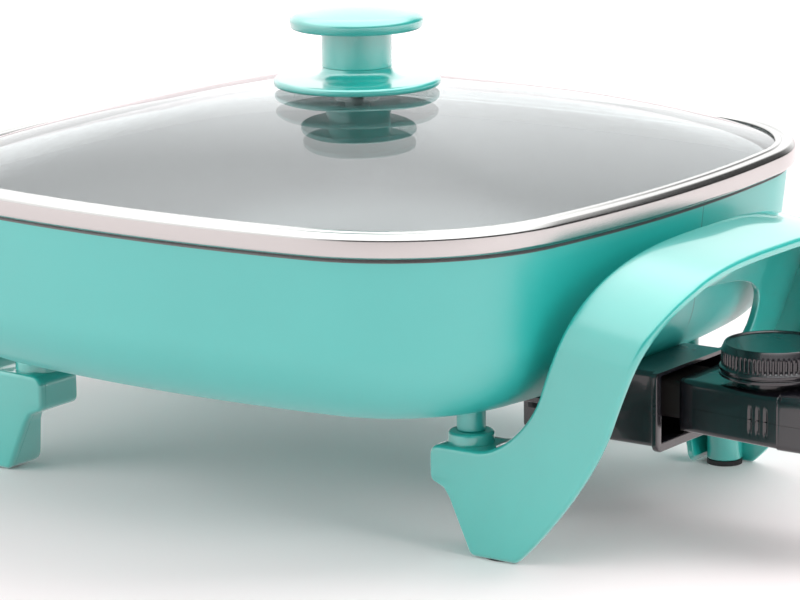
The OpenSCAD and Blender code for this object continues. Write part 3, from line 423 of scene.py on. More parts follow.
class Graph:
    """The node tree of one material."""

    def __init__(self, name: str) -> None:
        """Makes an empty material.

        Args:
            name: The material's name.
        """
        self.material = bpy.data.materials.new(name)
        self.material.use_nodes = True
        self.tree = self.material.node_tree
        self.tree.nodes.clear()

    def node(self, kind: str, settings: dict[str, Any], inputs: dict[Any, Any],
             output: Union[int, str] = 0) -> Wire:
        """Adds a node.

        Args:
            kind: The node's type.
            settings: Its properties, which are set first.
            inputs: Values or links of its sockets, by index or name.
            output: Which output is returned.

        Returns:
            That output.
        """
        made = self.tree.nodes.new(kind)
        for key, value in settings.items():
            setattr(made, key, value)
        for key, value in inputs.items():
            socket = made.inputs[key]
            if isinstance(value, Wire):
                self.tree.links.new(value.socket, socket)
            elif isinstance(value, tuple) and len(value) == 3 and socket.type == "RGBA":
                socket.default_value = (*value, 1.0)
            else:
                socket.default_value = value
        return Wire(self, made.outputs[output])

    def place(self) -> Wire:
        """Object coordinates, in metres."""
        return self.node("ShaderNodeTexCoord", {}, {}, "Object")

    def axis(self, name: str) -> Wire:
        """One of the X, Y and Z object coordinates, in metres."""
        return self.node("ShaderNodeSeparateXYZ", {}, {0: self.place()}, name)

    def attribute(self, name: str) -> Wire:
        """A value that the mesh carries at its points."""
        return self.node("ShaderNodeAttribute", {"attribute_name": name}, {}, "Fac")

    def noise(self, scale: float, detail: float = 3.0, stretch: Triple = (1, 1, 1),
              rough: float = 0.55) -> Wire:
        """Noise in the object's own place.

        Args:
            scale: Its scale per metre.
            detail: How many finer layers it has.
            stretch: How much finer it is along X, Y and Z.
            rough: How strong the finer layers are.

        Returns:
            Its value, of 0 to 1.
        """
        at = self.node("ShaderNodeMapping", {}, {"Vector": self.place(), "Scale": stretch})
        inputs = {"Vector": at, "Scale": scale, "Detail": detail, "Roughness": rough}
        return self.node("ShaderNodeTexNoise", {}, inputs, "Fac")

    def cells(self, scale: float) -> Wire:
        """Distance to the nearest of scattered points, at a scale per metre."""
        return self.node("ShaderNodeTexVoronoi", {}, {"Vector": self.place(), "Scale": scale}, "Distance")

    def blend(self, factor: Union[Wire, float], a: Union[Wire, Colour], b: Union[Wire, Colour]) -> Wire:
        """The colour a at factor 0 and b at factor 1."""
        return self.node("ShaderNodeMix", {"data_type": "RGBA"}, {0: factor, 6: a, 7: b}, 2)

    def bump(self, height: Wire, distance: float, strength: float = 1.0) -> Wire:
        """A normal from a height of 0 to 1 that stands for a distance in metres."""
        return self.node("ShaderNodeBump", {}, {"Height": height, "Distance": distance, "Strength": strength})

    def surface(self, **sockets: Any) -> Wire:
        """A Principled BSDF; a socket's name is written with underscores for its spaces."""
        return self.node("ShaderNodeBsdfPrincipled", {}, {k.replace("_", " "): v for k, v in sockets.items()})

    def finish(self, shader: Wire) -> bpy.types.Material:
        """Joins a shader to a new output node.

        Args:
            shader: The shader.

        Returns:
            The finished material.
        """
        end = self.tree.nodes.new("ShaderNodeOutputMaterial")
        self.tree.links.new(shader.socket, end.inputs["Surface"])
        return self.material


# ------------------------------------------------------------------ finishes


@dataclass(frozen=True)
class PanEnamel:
    """Turquoise enamel outside and dark non-stick coating inside, split by the mesh's coating value.

    Attributes:
        colour: The enamel's colour.
        coating: The coating's colour.
        roughness: The enamel's roughness.
        seam_y: Where the fine upright line in the right wall is, in metres.
    """

    colour: Colour = (0.012, 0.43, 0.39)
    coating: Colour = (0.035, 0.036, 0.038)
    roughness: float = 0.42
    seam_y: float = 0.017

    def material(self) -> bpy.types.Material:
        """Builds the material.

        Returns:
            The material.
        """
        g = Graph("pan_enamel")
        inside = g.attribute("coating").ramp(0.45, 0.55)
        cloud = g.noise(14.0, 4.0)
        grain = g.noise(900.0, 2.0)
        specks = g.cells(1500.0)
        x, y, z = (g.axis(a) for a in "XYZ")
        seam = ((y - self.seam_y).size().ramp(0.00045, 0.00015) * x.ramp(PAN_X + 0.14, PAN_X + 0.143)
                * z.ramp(0.07, 0.076))
        paint = g.blend(cloud.ramp(0.35, 0.65) * 0.5, self.colour, tuple(c * 0.93 for c in self.colour))
        paint = g.blend(seam * 0.75, paint, (0.01, 0.09, 0.085))
        dark = g.blend(specks.ramp(0.5, 0.2) * 0.5, self.coating, (0.09, 0.09, 0.092))
        rough = (0.5 + grain * 0.1) * inside + (self.roughness + cloud * 0.06) * (1 - inside)
        height = grain * 0.5 + specks * inside * 0.5 - seam * 6.0
        return g.finish(g.surface(
            Base_Color=g.blend(inside, paint, dark), Roughness=rough, IOR=2.1, Coat_Weight=(1 - inside) * 0.3,
            Coat_Roughness=0.2, Normal=g.bump(height, 0.00003, 0.6)))


@dataclass(frozen=True)
class Moulding:
    """Glossy moulded plastic with faint flow marks and handling marks."""

    name: str
    colour: Colour
    roughness: float = 0.3
    coat: float = 0.9
    coat_roughness: float = 0.05
    ior: float = 1.9

    def material(self) -> bpy.types.Material:
        """Builds the material.

        Returns:
            The material.
        """
        g = Graph(self.name)
        flow = g.noise(30.0, 5.0, (1.0, 1.6, 0.6))
        fine = g.noise(1400.0, 2.0)
        marks = g.noise(160.0, 6.0, (1.0, 5.0, 1.0), 0.7).ramp(0.62, 0.75)
        colour = g.blend(flow.ramp(0.3, 0.7) * 0.6, self.colour, tuple(c * 0.9 for c in self.colour))
        rough = self.roughness + flow * 0.05 + marks * 0.06
        return g.finish(g.surface(
            Base_Color=colour, Roughness=rough, IOR=self.ior, Coat_Weight=self.coat - marks * 0.12,
            Coat_Roughness=self.coat_roughness, Normal=g.bump(flow * 0.9 + fine * 0.1, 0.00004, 0.5)))


@dataclass(frozen=True)
class SheetSteel:
    """Bright rolled steel with fine lines across the axis along which the noise is finest."""

    name: str
    colour: Colour = (0.5, 0.5, 0.49)
    roughness: float = 0.16
    lines: Triple = (1.0, 1.0, 60.0)

    def material(self) -> bpy.types.Material:
        """Builds the material.

        Returns:
            The material.
        """
        g = Graph(self.name)
        line = g.noise(70.0, 4.0, self.lines, 0.7)
        cloud = g.noise(25.0, 3.0)
        colour = g.blend(line * 0.4, self.colour, tuple(c * 0.82 for c in self.colour))
        rough = self.roughness + line * 0.1 + cloud * 0.05
        return g.finish(g.surface(Base_Color=colour, Metallic=1.0, Roughness=rough,
                                  Normal=g.bump(line, 0.00001, 0.5)))


@dataclass(frozen=True)
class ClearGlass:
    """Clear tempered glass that reflects 0.04 + 0.96 f^5 of the light, where f is 0 face on and 1 edge on."""

    name: str = "lid_glass_clear"
    tint: Colour = (0.93, 0.96, 0.96)

    def material(self) -> bpy.types.Material:
        """Builds the material.

        Returns:
            The material.
        """
        g = Graph(self.name)
        smear = g.noise(18.0, 5.0, (1.0, 1.4, 1.0))
        dust = g.cells(900.0).ramp(0.09, 0.03)
        facing = g.node("ShaderNodeLayerWeight", {}, {"Blend": 0.5}, "Facing")
        clear = g.node("ShaderNodeBsdfTransparent", {}, {"Color": self.tint})
        gloss = g.surface(Base_Color=(0.96, 0.97, 0.98), Metallic=1.0, Roughness=0.02 + smear * 0.02)
        share = (facing ** 5 * 0.96 + 0.04 + dust * 0.02).clamp()
        mix = g.node("ShaderNodeMixShader", {}, {0: share, 1: clear, 2: gloss})
        return g.finish(mix)


@dataclass(frozen=True)
class Plain:
    """A small part's finish: a colour broken up by cloud and grain, with a bump of its own."""

    name: str
    colour: Colour
    roughness: float = 0.5
    metallic: float = 0.0
    grain: float = 600.0
    depth: float = 0.00003

    def material(self) -> bpy.types.Material:
        """Builds the material.

        Returns:
            The material.
        """
        g = Graph(self.name)
        cloud = g.noise(45.0, 4.0)
        grain = g.noise(self.grain, 3.0)
        shade = tuple(c * 0.78 for c in self.colour)
        return g.finish(g.surface(
            Base_Color=g.blend(cloud.ramp(0.35, 0.7), self.colour, shade), Metallic=self.metallic,
            Roughness=self.roughness + grain * 0.12 - 0.04, Normal=g.bump(grain, self.depth, 0.6)))


class Finishes:
    """Every finish of the skillet, each made once."""

    def __init__(self) -> None:
        """Builds the materials."""
        turquoise = (0.016, 0.44, 0.39)
        self.enamel = PanEnamel().material()
        self.handle = Moulding("handle_moulding", turquoise).material()
        self.knob = Moulding("knob_moulding", turquoise, roughness=0.26, ior=2.2).material()
        self.black = Moulding("black_moulding", (0.0075, 0.007, 0.0105), 0.24, 0.45, ior=1.6).material()
        self.nose = Plain("nose_moulding", (0.02, 0.018, 0.017), 0.45, 0.0, 900.0).material()
        self.band = SheetSteel("band_steel").material()
        self.steel = SheetSteel("plain_steel", (0.55, 0.55, 0.54), 0.3, (1.0, 20.0, 1.0)).material()
        self.glass = ClearGlass().material()
        self.dark_steel = Plain("blackened_steel", (0.03, 0.03, 0.032), 0.4, 0.6, 700.0).material()
        self.cast = Plain("cast_aluminium", (0.5, 0.51, 0.52), 0.42, 0.9, 500.0, 0.0001).material()
        self.brass = Plain("brass", (0.72, 0.5, 0.2), 0.3, 1.0, 900.0).material()
        self.ceramic = Plain("ceramic", (0.72, 0.68, 0.6), 0.6, 0.0, 1200.0).material()
        self.rubber = Plain("rubber", (0.018, 0.018, 0.019), 0.7, 0.0, 1500.0, 0.00008).material()
        self.silicone = Plain("silicone", (0.5, 0.5, 0.48), 0.5, 0.0, 700.0).material()
        self.lens = Plain("red_lens", (0.45, 0.012, 0.006), 0.12, 0.0, 300.0).material()
        self.lamp = Plain("lamp_glass", (0.8, 0.55, 0.4), 0.1, 0.0, 300.0).material()

    def by_node(self) -> dict[str, bpy.types.Material]:
        """The finish of each node of the frame.

        Returns:
            The materials by the nodes' names.
        """
        return {
            "pan": self.enamel, "element_channel": self.cast, "heating_element": self.steel,
            "terminal_pins": self.steel, "terminal_bushings": self.ceramic, "probe_sleeve": self.steel,
            "socket_shroud": self.black, "socket_screws": self.dark_steel, "handle_right": self.handle,
            "handle_left": self.handle, "handle_screws": self.steel, "handle_washers": self.steel,
            "foot_pads": self.rubber, "lid_glass": self.glass, "lid_band": self.band,
            "knob_base": self.knob, "knob_top": self.knob, "knob_gasket": self.silicone,
            "knob_washer": self.steel, "knob_screw": self.steel, "control_base": self.black,
            "control_cover": self.black, "control_nose": self.nose, "probe_tube": self.steel,
            "contact_sleeves": self.brass, "thermostat_frame": self.steel, "contact_leaf_upper": self.brass,
            "contact_leaf_lower": self.brass, "leaf_insulators": self.ceramic, "leaf_rivet": self.steel,
            "indicator_lens": self.lens, "indicator_lamp": self.lamp, "control_screws": self.steel,
            "cord_gland": self.rubber, "dial": self.black, "dial_shaft": self.steel, "shaft_clip": self.steel}


def dress(made: bpy.types.Object, material: bpy.types.Material) -> None:
    """Gives an object one material in all its slots.

    Args:
        made: The object.
        material: The material.
    """
    if made.material_slots:
        for part in made.material_slots:
            part.material = material
    else:
        made.data.materials.append(material)


# ------------------------------------------------------------------ pan


@dataclass
class Pan:
    """The cast pan with its posts and bosses.

    Attributes:
        half: Half its width at the rim line, on the middle lines.
        bow: Radius of its four sides.
        corner: Radius of its four corners.
        rim_z: Height of the rim.
        base_z: Height of the flat underside.
        wall: Thickness of the wall.
        floor: Thickness of the floor.
        draft: How far the wall's foot stands inside the rim line.
        roll: Radius of the rolled edge between wall and underside.
        lip: Radius of the rim's edges.
        post: Place of the post for a handle; post_r is its radius and post_low its foot's height.
        ear: Place of the boss for the socket's screw; ear_r and ear_low as for the post.
        root: How far posts and bosses reach into the floor.
        flare: Radius of the fillet between them and the underside.
        saddle_half: Half the width and half the height of the saddle for the probe's sleeve.
        saddle_r: Radius of its long edges.
        saddle_z: Height of its middle.
        saddle_x: Its two ends.
    """

    half: float = 152.4
    bow: float = 573.0
    corner: float = 78.0
    rim_z: float = 122.0
    base_z: float = 55.0
    wall: float = 3.2
    floor: float = 4.0
    draft: float = 3.8
    roll: float = 31.6
    lip: float = 1.2
    post: Pair = (107.5, 77.5)
    post_r: float = 5.5
    post_low: float = 46.05
    ear: Pair = (106.0, 31.0)
    ear_r: float = 4.05
    ear_low: float = 50.05
    root: float = 1.5
    flare: float = 1.6
    saddle_half: Pair = (7.5, 5.7)
    saddle_r: float = 1.6
    saddle_z: float = 50.6
    saddle_x: Pair = (64.8, 76.8)

    def outline(self, out: float = 0.0, steps: int = 26) -> Loop:
        """The bowed square that the rim follows.

        Four side arcs about points on the middle lines meet four corner arcs about points on the
        diagonals; where they meet, both arcs have the same normal.

        Args:
            out: How far the outline stands outside the rim line.
            steps: Segments of each arc.

        Returns:
            The outline.
        """
        d, reach = self.bow - self.half, self.bow - self.corner
        c = (math.sqrt(8 * reach**2 - 4 * d * d) - 2 * d) / 4
        a = math.atan2(c, c + d)
        side = np.linspace(-a, a, steps, endpoint=False)
        bend = np.linspace(a, math.pi / 2 - a, steps, endpoint=False)
        angle = np.concatenate([side, bend])
        radius = np.concatenate([np.full(steps, self.bow), np.full(steps, self.corner)]) + out
        centre = np.concatenate([np.tile([-d, 0.0], (steps, 1)), np.tile([c, c], (steps, 1))])
        way = np.stack([np.cos(angle), np.sin(angle)], axis=1)
        base = centre + radius[:, None] * way
        turns = [np.array([[math.cos(t), math.sin(t)], [-math.sin(t), math.cos(t)]])
                 for t in np.radians([0, 90, 180, 270])]
        return Loop(np.concatenate([base @ t for t in turns]), np.concatenate([way @ t for t in turns]))

    def outer(self, t: Array) -> Array:
        """The rolled edge: a quarter arc from the flat underside (t = 90 degrees) up to the wall (t = 0)."""
        inset, height = self.draft + self.roll * (1 - np.cos(t)), self.base_z + self.roll * (1 - np.sin(t))
        return np.stack([inset, height], axis=1)

    def under(self, x: Array, y: Array) -> Array:
        """Height of the pan's underside over points near the middle of its right side.

        The inset of a point from the rim line is bow - (distance from the side arc's centre), and the
        rolled edge gives the height there.

        Args:
            x: Their first coordinate.
            y: Their second coordinate.

        Returns:
            The heights, which outside the wall are above everything.
        """
        inset = self.bow - np.hypot(x + self.bow - self.half, y)
        t = np.arccos(np.clip(1 - (inset - self.draft) / self.roll, 0.0, 1.0))
        return np.where(inset >= self.draft + self.roll, self.base_z,
                        np.where(inset <= self.draft, OPEN_SKY, self.base_z + self.roll * (1 - np.sin(t))))

    def shell(self) -> bpy.types.Object:
        """One profile carried round the rim line, from the middle of the underside over the lip to the floor.

        The inner wall stands a wall's thickness inside the outer one: its arc has a radius smaller by that
        thickness and ends on the floor.

        Returns:
            The object, with a coating value of 1 on its inside.
        """
        ring = self.outline()
        t = np.radians(np.linspace(90, 0, 19))
        out = self.outer(t)
        inner_r = self.roll - self.wall
        ti = t[::-1]
        inner = np.stack([self.draft + self.roll - inner_r * np.cos(ti),
                          self.base_z + self.floor + inner_r * (1 - np.sin(ti))], axis=1)
        lip = fillet([out[-1], [0.0, self.rim_z], [self.wall, self.rim_z], inner[0]],
                     [0, self.lip, self.lip, 0], 5)
        below_lip = lip[1:2] - [[0.0, 0.2]]
        wall = np.concatenate([np.linspace(out[-1], lip[1], 8)[1:-1], below_lip])
        back = np.linspace(lip[-2], inner[0], 8)[1:-1]
        profile = np.concatenate([out, wall, lip[1:-1], back, inner])
        body = ring.carry(profile)
        flat_out, flat_in = ring.carry(out[:1])[0], ring.carry(inner[-1:])[0]
        shrink = np.array([0.04, 0.3, 0.6, 0.9])[:, None, None]
        middle = np.array([0.0, 0.0, 1.0])
        under = flat_out[None] * (shrink * (1 - middle) + middle)
        floor = flat_in[None] * (shrink[::-1] * (1 - middle) + middle)
        points = np.concatenate([under, body, floor])
        coated = np.zeros(len(points))
        coated[len(under) + len(out) + len(wall):] = 1.0
        return Piece("pan_shell").grid(points, coating=coated[:, None]).build(
            Body.SKILLET, "turquoise_pan", "pan")

    def fittings(self) -> bpy.types.Object:
        """The posts for the handles, the bosses for the socket and the saddle for the probe's sleeve.

        Returns:
            The object, with a coating value of 0 all over.
        """
        fittings = Piece("pan_posts")
        for sx in (-1, 1):
            for sy in (-1, 1):
                self.lathed(fittings, (sx * self.post[0], sy * self.post[1]), self.post_r, self.post_low)
        for sy in (-1, 1):
            self.lathed(fittings, (self.ear[0], sy * self.ear[1]), self.ear_r, self.ear_low)
        saddle = Loop.rectangle(*self.saddle_half, self.saddle_r, 6, (0.0, self.saddle_z))
        x0, x1 = self.saddle_x
        ends = [[1.2, x0], [0.35, x0 + 0.35], [0.0, x0 + 1.2], [0.0, x1 - 1.2], [0.35, x1 - 0.35], [1.2, x1]]
        fittings.grid(saddle.carry(ends, Along.X), coating=0.0)
        return fittings.build(Body.SKILLET, "turquoise_pan", "pan")

    def lathed(self, piece: Piece, at: Pair, radius: float, low: float) -> None:
        """Adds an upright round post with a rounded foot and a fillet into the pan.

        Args:
            piece: The piece that it becomes part of.
            at: Its axis.
            radius: Its radius.
            low: The height of its foot.
        """
        high, flare = self.base_z + self.root, self.flare
        start = high - flare - 0.6
        foot = fillet([[radius, low], [0.0, low], [0.0, start]], [0, 0.6, 0], 4)[1:]
        turn = np.radians(np.linspace(0, 90, 7))
        curve = np.stack([-flare * (1 - np.cos(turn)), start + flare * np.sin(turn)], axis=1)
        rows = np.concatenate([foot, curve[1:], [[-flare, high]]])
        piece.grid(Loop.circle(radius, 48).carry(rows) + np.array([*at, 0.0]), coating=0.0)

    def build(self) -> list[bpy.types.Object]:
        """Builds the shell and the fittings under it."""
        return [self.shell(), self.fittings()]


# ------------------------------------------------------------------ lid


@dataclass
class Lid:
    """The glass with its steel band and its two-disc knob.

    Attributes:
        pan: The pan whose outline it follows.
        band_out: How far the band stands outside the pan's rim line.
        sheet: Thickness of the band's sheet.
        glass_half: Half the width of the glass.
        glass_low: Height of the glass's underside at its edge.
        glass_high: Height of its top there.
        dome: How much higher the glass is at the knob.
        flat: Width of the flat edge.
        hole: Radius of the hole for the knob's screw.
        seat: Size of the flat seat under the knob, as a share of the glass.
        edge_r: How far the glass's edge bulges.
        band_low: Height of the band's outer foot.
        bead: Height of the bead that carries the glass.
        band_top: Height under the band's top.
        skirt: Height of the foot of the skirt that goes into the pan.
        skirt_in: How far the skirt stands inside the rim line.
        knob_z: Height of the knob's foot.
        base_r: Radius of the knob's base; base_high is its height.
        neck_r: Radius of the collar's neck.
        collar_wide: How much wider the collar is at its foot; collar_high is its height.
        stem_r: Radius of the stem; stem_high is its height.
        top_r: Radius of the top disc; top_edge is the height of its side.
        top_rise: Height of its crown.
        bore_r: Radius of the bore.
    """

    pan: Pan
    band_out: float = 3.0
    sheet: float = 0.9
    glass_half: float = 154.2
    glass_low: float = 126.4
    glass_high: float = 130.4
    dome: float = 26.3
    flat: float = 6.5
    hole: float = 4.0
    seat: float = 0.08
    edge_r: float = 1.8
    band_low: float = 122.3
    bead: float = 126.1
    band_top: float = 130.7
    skirt: float = 118.2
    skirt_in: float = 4.0
    knob_z: float = 157.5
    base_r: float = 33.8
    base_high: float = 3.2
    neck_r: float = 14.0
    collar_wide: float = 6.5
    collar_high: float = 4.3
    stem_r: float = 14.2
    stem_high: float = 15.6
    top_r: float = 27.1
    top_edge: float = 5.2
    top_rise: float = 3.3
    bore_r: float = 2.65

    def rise(self, k: Array) -> Array:
        """Height of the dome over rings of the outline: dome (1 - (k^2 - seat^2) / (edge^2 - seat^2)).

        Args:
            k: Sizes of the rings, as shares of the outline; kept between the seat and the flat edge.

        Returns:
            Their heights above the flat edge.
        """
        edge, seat = 1 - self.flat / self.glass_half, self.seat
        share = 1 - (np.clip(k, seat, edge) ** 2 - seat**2) / (edge**2 - seat**2)
        return self.dome * share

    def glass(self) -> bpy.types.Object:
        """Glass of even thickness: rings of the outline from the hole out to the edge and back underneath.

        Near the hole the rings turn into circles: a point's distance from the axis is the ring's mean plus
        a share of its own difference from it.  The edge is a half ellipse.

        Returns:
            The object.
        """
        ring = self.pan.outline(self.glass_half - self.pan.half)
        k = np.concatenate([[0.0], np.linspace(self.seat, 0.88, 26), np.linspace(0.90, 0.985, 9)])
        top = ring.scaled(k, self.glass_high + self.rise(k))
        bottom = ring.scaled(k, self.glass_low + self.rise(k))[::-1]
        turn = np.radians(np.linspace(80, -80, 9))
        middle, half = (self.glass_high + self.glass_low) / 2, (self.glass_high - self.glass_low) / 2
        edge = ring.carry(np.stack([self.edge_r - self.edge_r * np.cos(turn),
                                    middle + half * np.sin(turn)], axis=1))
        angle = np.arctan2(ring.base[:, 1], ring.base[:, 0])
        way = np.stack([np.cos(angle), np.sin(angle)], axis=1)
        top[0, :, :2] = way * self.hole
        bottom[-1, :, :2] = way * self.hole
        squareness = 0.35 + 0.65 * smoothstep(k, self.seat, 0.4)
        for grid, amount in ((top, squareness), (bottom, squareness[::-1])):
            size = np.linalg.norm(grid[..., :2], axis=2)
            even = size.mean(axis=1, keepdims=True)
            wanted = even + (size - even) * amount[:, None]
            grid[..., :2] = way[None] * wanted[..., None]
        points = np.concatenate([top, edge, bottom])
        return Piece("lid_glass_dome").grid(points, wrap_rows=True).build(
            Body.LID, "glass", "lid_glass", 50.0)

    def band(self) -> bpy.types.Object:
        """The rolled band: one closed profile of sheet carried round the rim line.

        The profile runs from the outer face's foot inwards, down the skirt, up behind the glass's edge and
        over the grooved top back to the outer face.

        Returns:
            The object.
        """
        o, t, i = -self.band_out, self.sheet, self.skirt_in
        low, bead, top, skirt = self.band_low, self.bead, self.band_top, self.skirt
        skirt_side = [[o + 1.4, low], [i, low], [i, skirt], [i + t, skirt], [i + t, bead - 0.2],
                      [o + t, bead - 0.2], [o + t, top - 0.4]]
        lip_side = [[4.9, top - 0.1], [5.35, top + t / 2], [4.9, top + t]]
        groove = [[3.1, top + t], [2.5, top + 0.35], [1.5, top + 0.35], [0.9, top + t - 0.05]]
        outer_side = [[o + 1.5, top + t - 0.1], [o, top - 1.2], [o, low + 1.1], [o + 1.4, low]]
        corners = [*skirt_side, *lip_side, *groove, *outer_side]
        radii = [0, 0.5, 0.2, 0.2, 0.6, 0.6, 0.8, 0, 0, 0, 0.4, 0.3, 0.3, 0.4, 1.3, 1.6, 1.2, 0]
        points = self.pan.outline(0.0, 40).carry(fillet(corners, radii, 5)[:-1])
        return Piece("lid_band_rolled").grid(points, wrap_rows=True).build(
            Body.LID, "bright_steel", "lid_band", 40.0)

    def knob(self) -> list[bpy.types.Object]:
        """The base with its flared collar and the top with its stem, both lathed from rounded profiles.

        The collar is a quarter of an ellipse, and the top's crown is a parabola of the radius.

        Returns:
            The base and the top.
        """
        z, r, shoulder = self.knob_z, self.base_r, self.knob_z + self.base_high
        turn = np.radians(np.linspace(0, 90, 12))
        skirt = fillet([[self.bore_r, z], [r - 0.2, z], [r, shoulder - 0.1],
                        [self.neck_r + self.collar_wide, shoulder]], [0, 1.2, 1.5, 0], 7)
        collar = np.stack([self.neck_r + self.collar_wide * (1 - np.sin(turn)),
                           shoulder + self.collar_high * (1 - np.cos(turn))], axis=1)
        base = np.concatenate([skirt[:-1], collar, [[self.bore_r, shoulder + self.collar_high]]])
        foot = shoulder + self.collar_high + 0.05
        disc = foot + self.stem_high
        crown_z, crown_r = disc + self.top_edge + 0.5, self.top_r - 2.2
        stem = fillet([[self.bore_r - 0.1, foot], [self.stem_r, foot], [self.stem_r, disc],
                       [self.top_r - 0.6, disc], [self.top_r, disc + self.top_edge - 1.2],
                       [crown_r, crown_z]], [0, 0.4, 0.7, 1.0, 1.8, 0], 6)
        share = np.linspace(1, 0.04, 12)
        crown = np.stack([crown_r * share, crown_z + (self.top_rise - 0.5) * (1 - share**2)], axis=1)
        top = np.concatenate([stem[:-1], crown[:-1]])
        pieces = []
        for name, profile, node, wrap in (("knob_base_disc", base, "knob_base", True),
                                          ("knob_top_disc", top, "knob_top", False)):
            points = Loop.circle(0.0, 112).carry(profile * OUTWARDS)
            pieces.append(Piece(name).grid(points, wrap_rows=wrap).build(
                Body.LID, "turquoise_handle", node, 42.0))
        return pieces

    def build(self) -> list[bpy.types.Object]:
        """Builds the glass, the band and the knob."""
        return [self.glass(), self.band(), *self.knob()]


# ------------------------------------------------------------------ handles


@dataclass
class Handle:
    """One moulded channel that runs from a foot over the grip to the other foot.

    The legs are flat and upright.  Over them a superellipse arch lies in a plane that slopes up and away
    from the pan, and a deep wall follows the whole edge towards the pan.

    Attributes:
        front: Distance of the legs' outer faces from the middle.
        grip_x: Where the grip's edge towards the pan is, at its top.
        grip_z: Height of the grip.
        slope: How steeply the grip's plane rises, in degrees.
        bend_z: Height where the legs turn into the arch.
        power: Power of the superellipse.
        skin: Thickness of the skin.
        wall: Thickness of the wall along the edge.
        deep: Depth of that wall over the grip.
        tab_deep: Its depth at the tab that is screwed to the pan.
        drop: How far below the outer arch the inner one starts.
        knee: Where the leg's wall turns into the arch's, in x and z.
        shin_top: Depth of the wall at the top of the shin, which is shin_z high.
        shin_foot: Its depth at the foot, where a corner of radius shin_r ends it.
        rib_deep: Depth of the rib under the skin, which starts at the height rib_low.
        edge: Radius of the skin's edges.
        sole: Height of the foot's underside.
        brow: Height up to which both edges are drawn.
        toe: Corners of the edge towards the pan, from the foot to the tab's end, in x and z.
        ball: The place of that edge just above the toe.
        across: The places of the outer edge that lie across from the toe's corners.
        post: Place of the pan's post.
        foot: Place of the foot's pad.
        collar_r: Radius of the collar that the post stands on; collar_z are its heights.
        boss_r: Radius of the boss under it for the screw; boss_z are its heights.
        foot_r: Radius of the round leg over the pad; foot_z are its heights.
        step: Distance between the rows along a leg.
    """

    front: float = 89.3
    grip_x: float = 162.3
    grip_z: float = 117.2
    slope: float = 7.6
    bend_z: float = 75.5
    power: float = 2.9
    skin: float = 3.5
    wall: float = 3.0
    deep: float = 27.0
    tab_deep: float = 23.0
    drop: float = 13.0
    knee: Pair = (142.1, 56.6)
    shin_top: float = 8.5
    shin_foot: float = 20.0
    shin_z: float = 25.0
    shin_r: float = 4.5
    rib_deep: float = 7.5
    rib_low: float = 52.0
    edge: float = 1.7
    sole: float = 0.4
    brow: float = 123.2
    toe: tuple[Pair, ...] = ((123.4, 0.4), (114.3, 0.4), (104.6, 21.5), (101.6, 25.8), (96.0, 27.0),
                             (96.0, 41.5), (117.0, 41.5))
    ball: Pair = (112.4, 5.0)
    across: tuple[Pair, ...] = ((123.6, 0.4), (136.6, 2.4), (143.5, 9.5), (148.5, 16.8), (153.0, 23.5),
                                (159.5, 31.5), (164.5, 38.5))
    post: Pair = (107.5, 77.5)
    foot: Pair = (124.5, 81.0)
    collar_r: float = 8.85
    collar_z: Pair = (39.5, 46.0)
    boss_r: float = 6.0
    boss_z: Pair = (32.0, 40.0)
    foot_r: float = 7.25
    foot_z: Pair = (2.05, 32.0)
    step: float = 1.2

    def inner_line(self) -> Array:
        """The edge towards the pan, from the foot round the tab and up past the grip.

        Returns:
            Its points in x and z.
        """
        toe = fillet(self.toe, [0, 3.2, 3.0, 3.0, 3.4, 4.2, 0], 8)
        lower = bezier(self.toe[-1], (128.0, 41.5), (142.06, 54.2), (146.2, 68.0), n=24)
        upper = bezier((146.2, 68.0), (149.8, 80.0), (162.0, 104.2), (self.grip_x, 119.2))
        return np.concatenate([toe[:-1], lower[:-1], upper, [[self.grip_x, self.brow]]])

    def outer_line(self) -> Array:
        """The edge away from the pan, from the foot up past the grip.

        Returns:
            Its points in x and z.
        """
        heel = bezier((134.5, self.sole), (141.0, 5.4), (167.66, 34.2), (176.2, 58.0))
        foot = fillet([self.across[0], heel[0], heel[3]], [0, 2.6, 0], 7)
        upper = bezier((176.2, 58.0), (182.3, 75.0), (193.1, 97.2), (195.3, 107.2))
        return np.concatenate([foot[:-1], heel[3:-1], upper, [[195.3, self.brow]]])

    def lift(self, line: Array) -> Array:
        """Height in the grip's tilted plane: grip_z + x sin(slope) + z cos(slope) about the grip's edge.

        Args:
            line: Points in x and z.

        Returns:
            Their heights.
        """
        phi = math.radians(self.slope)
        x, z = line[:, 0] - self.grip_x, line[:, 1] - self.grip_z
        return self.grip_z + x * math.sin(phi) + z * math.cos(phi)

    def at_lift(self, line: Array, lift: Array) -> tuple[Array, Array]:
        """The places of an edge at given heights in the grip's plane.

        Args:
            line: The edge, whose last points rise without a turn.
            lift: The heights.

        Returns:
            Their x and their z.
        """
        rising = line[-RISING:]
        known = self.lift(rising)
        return np.interp(lift, known, rising[:, 0]), np.interp(lift, known, rising[:, 1])

    def leg(self, line: Array) -> Array:
        """The part of an edge below the bend."""
        x, z = self.at_lift(line, np.array([self.bend_z]))
        return np.concatenate([line[self.lift(line) < self.bend_z - 0.05], [[x[0], z[0]]]])

    def arch(self, inset: float, drop: float = 0.0) -> tuple[Array, Array, Array, Array]:
        """The superellipse |y / front|^p + |(lift - bend) / rise|^p = 1 from one leg to the other.

        Args:
            inset: How far inside the outer arch it lies, at its legs and at its top.
            drop: How far below the outer arch's start it starts.

        Returns:
            y, lift, and the two parts of its inward normal.
        """
        t = np.linspace(0, math.pi, 109)[1:-1]
        bend = self.bend_z - drop
        front, rise = self.front - inset, self.grip_z - inset - bend
        share_y, share_z = np.abs(np.cos(t)) ** (2 / self.power), np.sin(t) ** (2 / self.power)
        sign = np.sign(np.cos(t))
        normal = -unit(np.stack([-sign * share_y ** (self.power - 1) / front,
                                 share_z ** (self.power - 1) / rise], axis=1))
        return -front * sign * share_y, bend + rise * share_z, normal[:, 0], normal[:, 1]

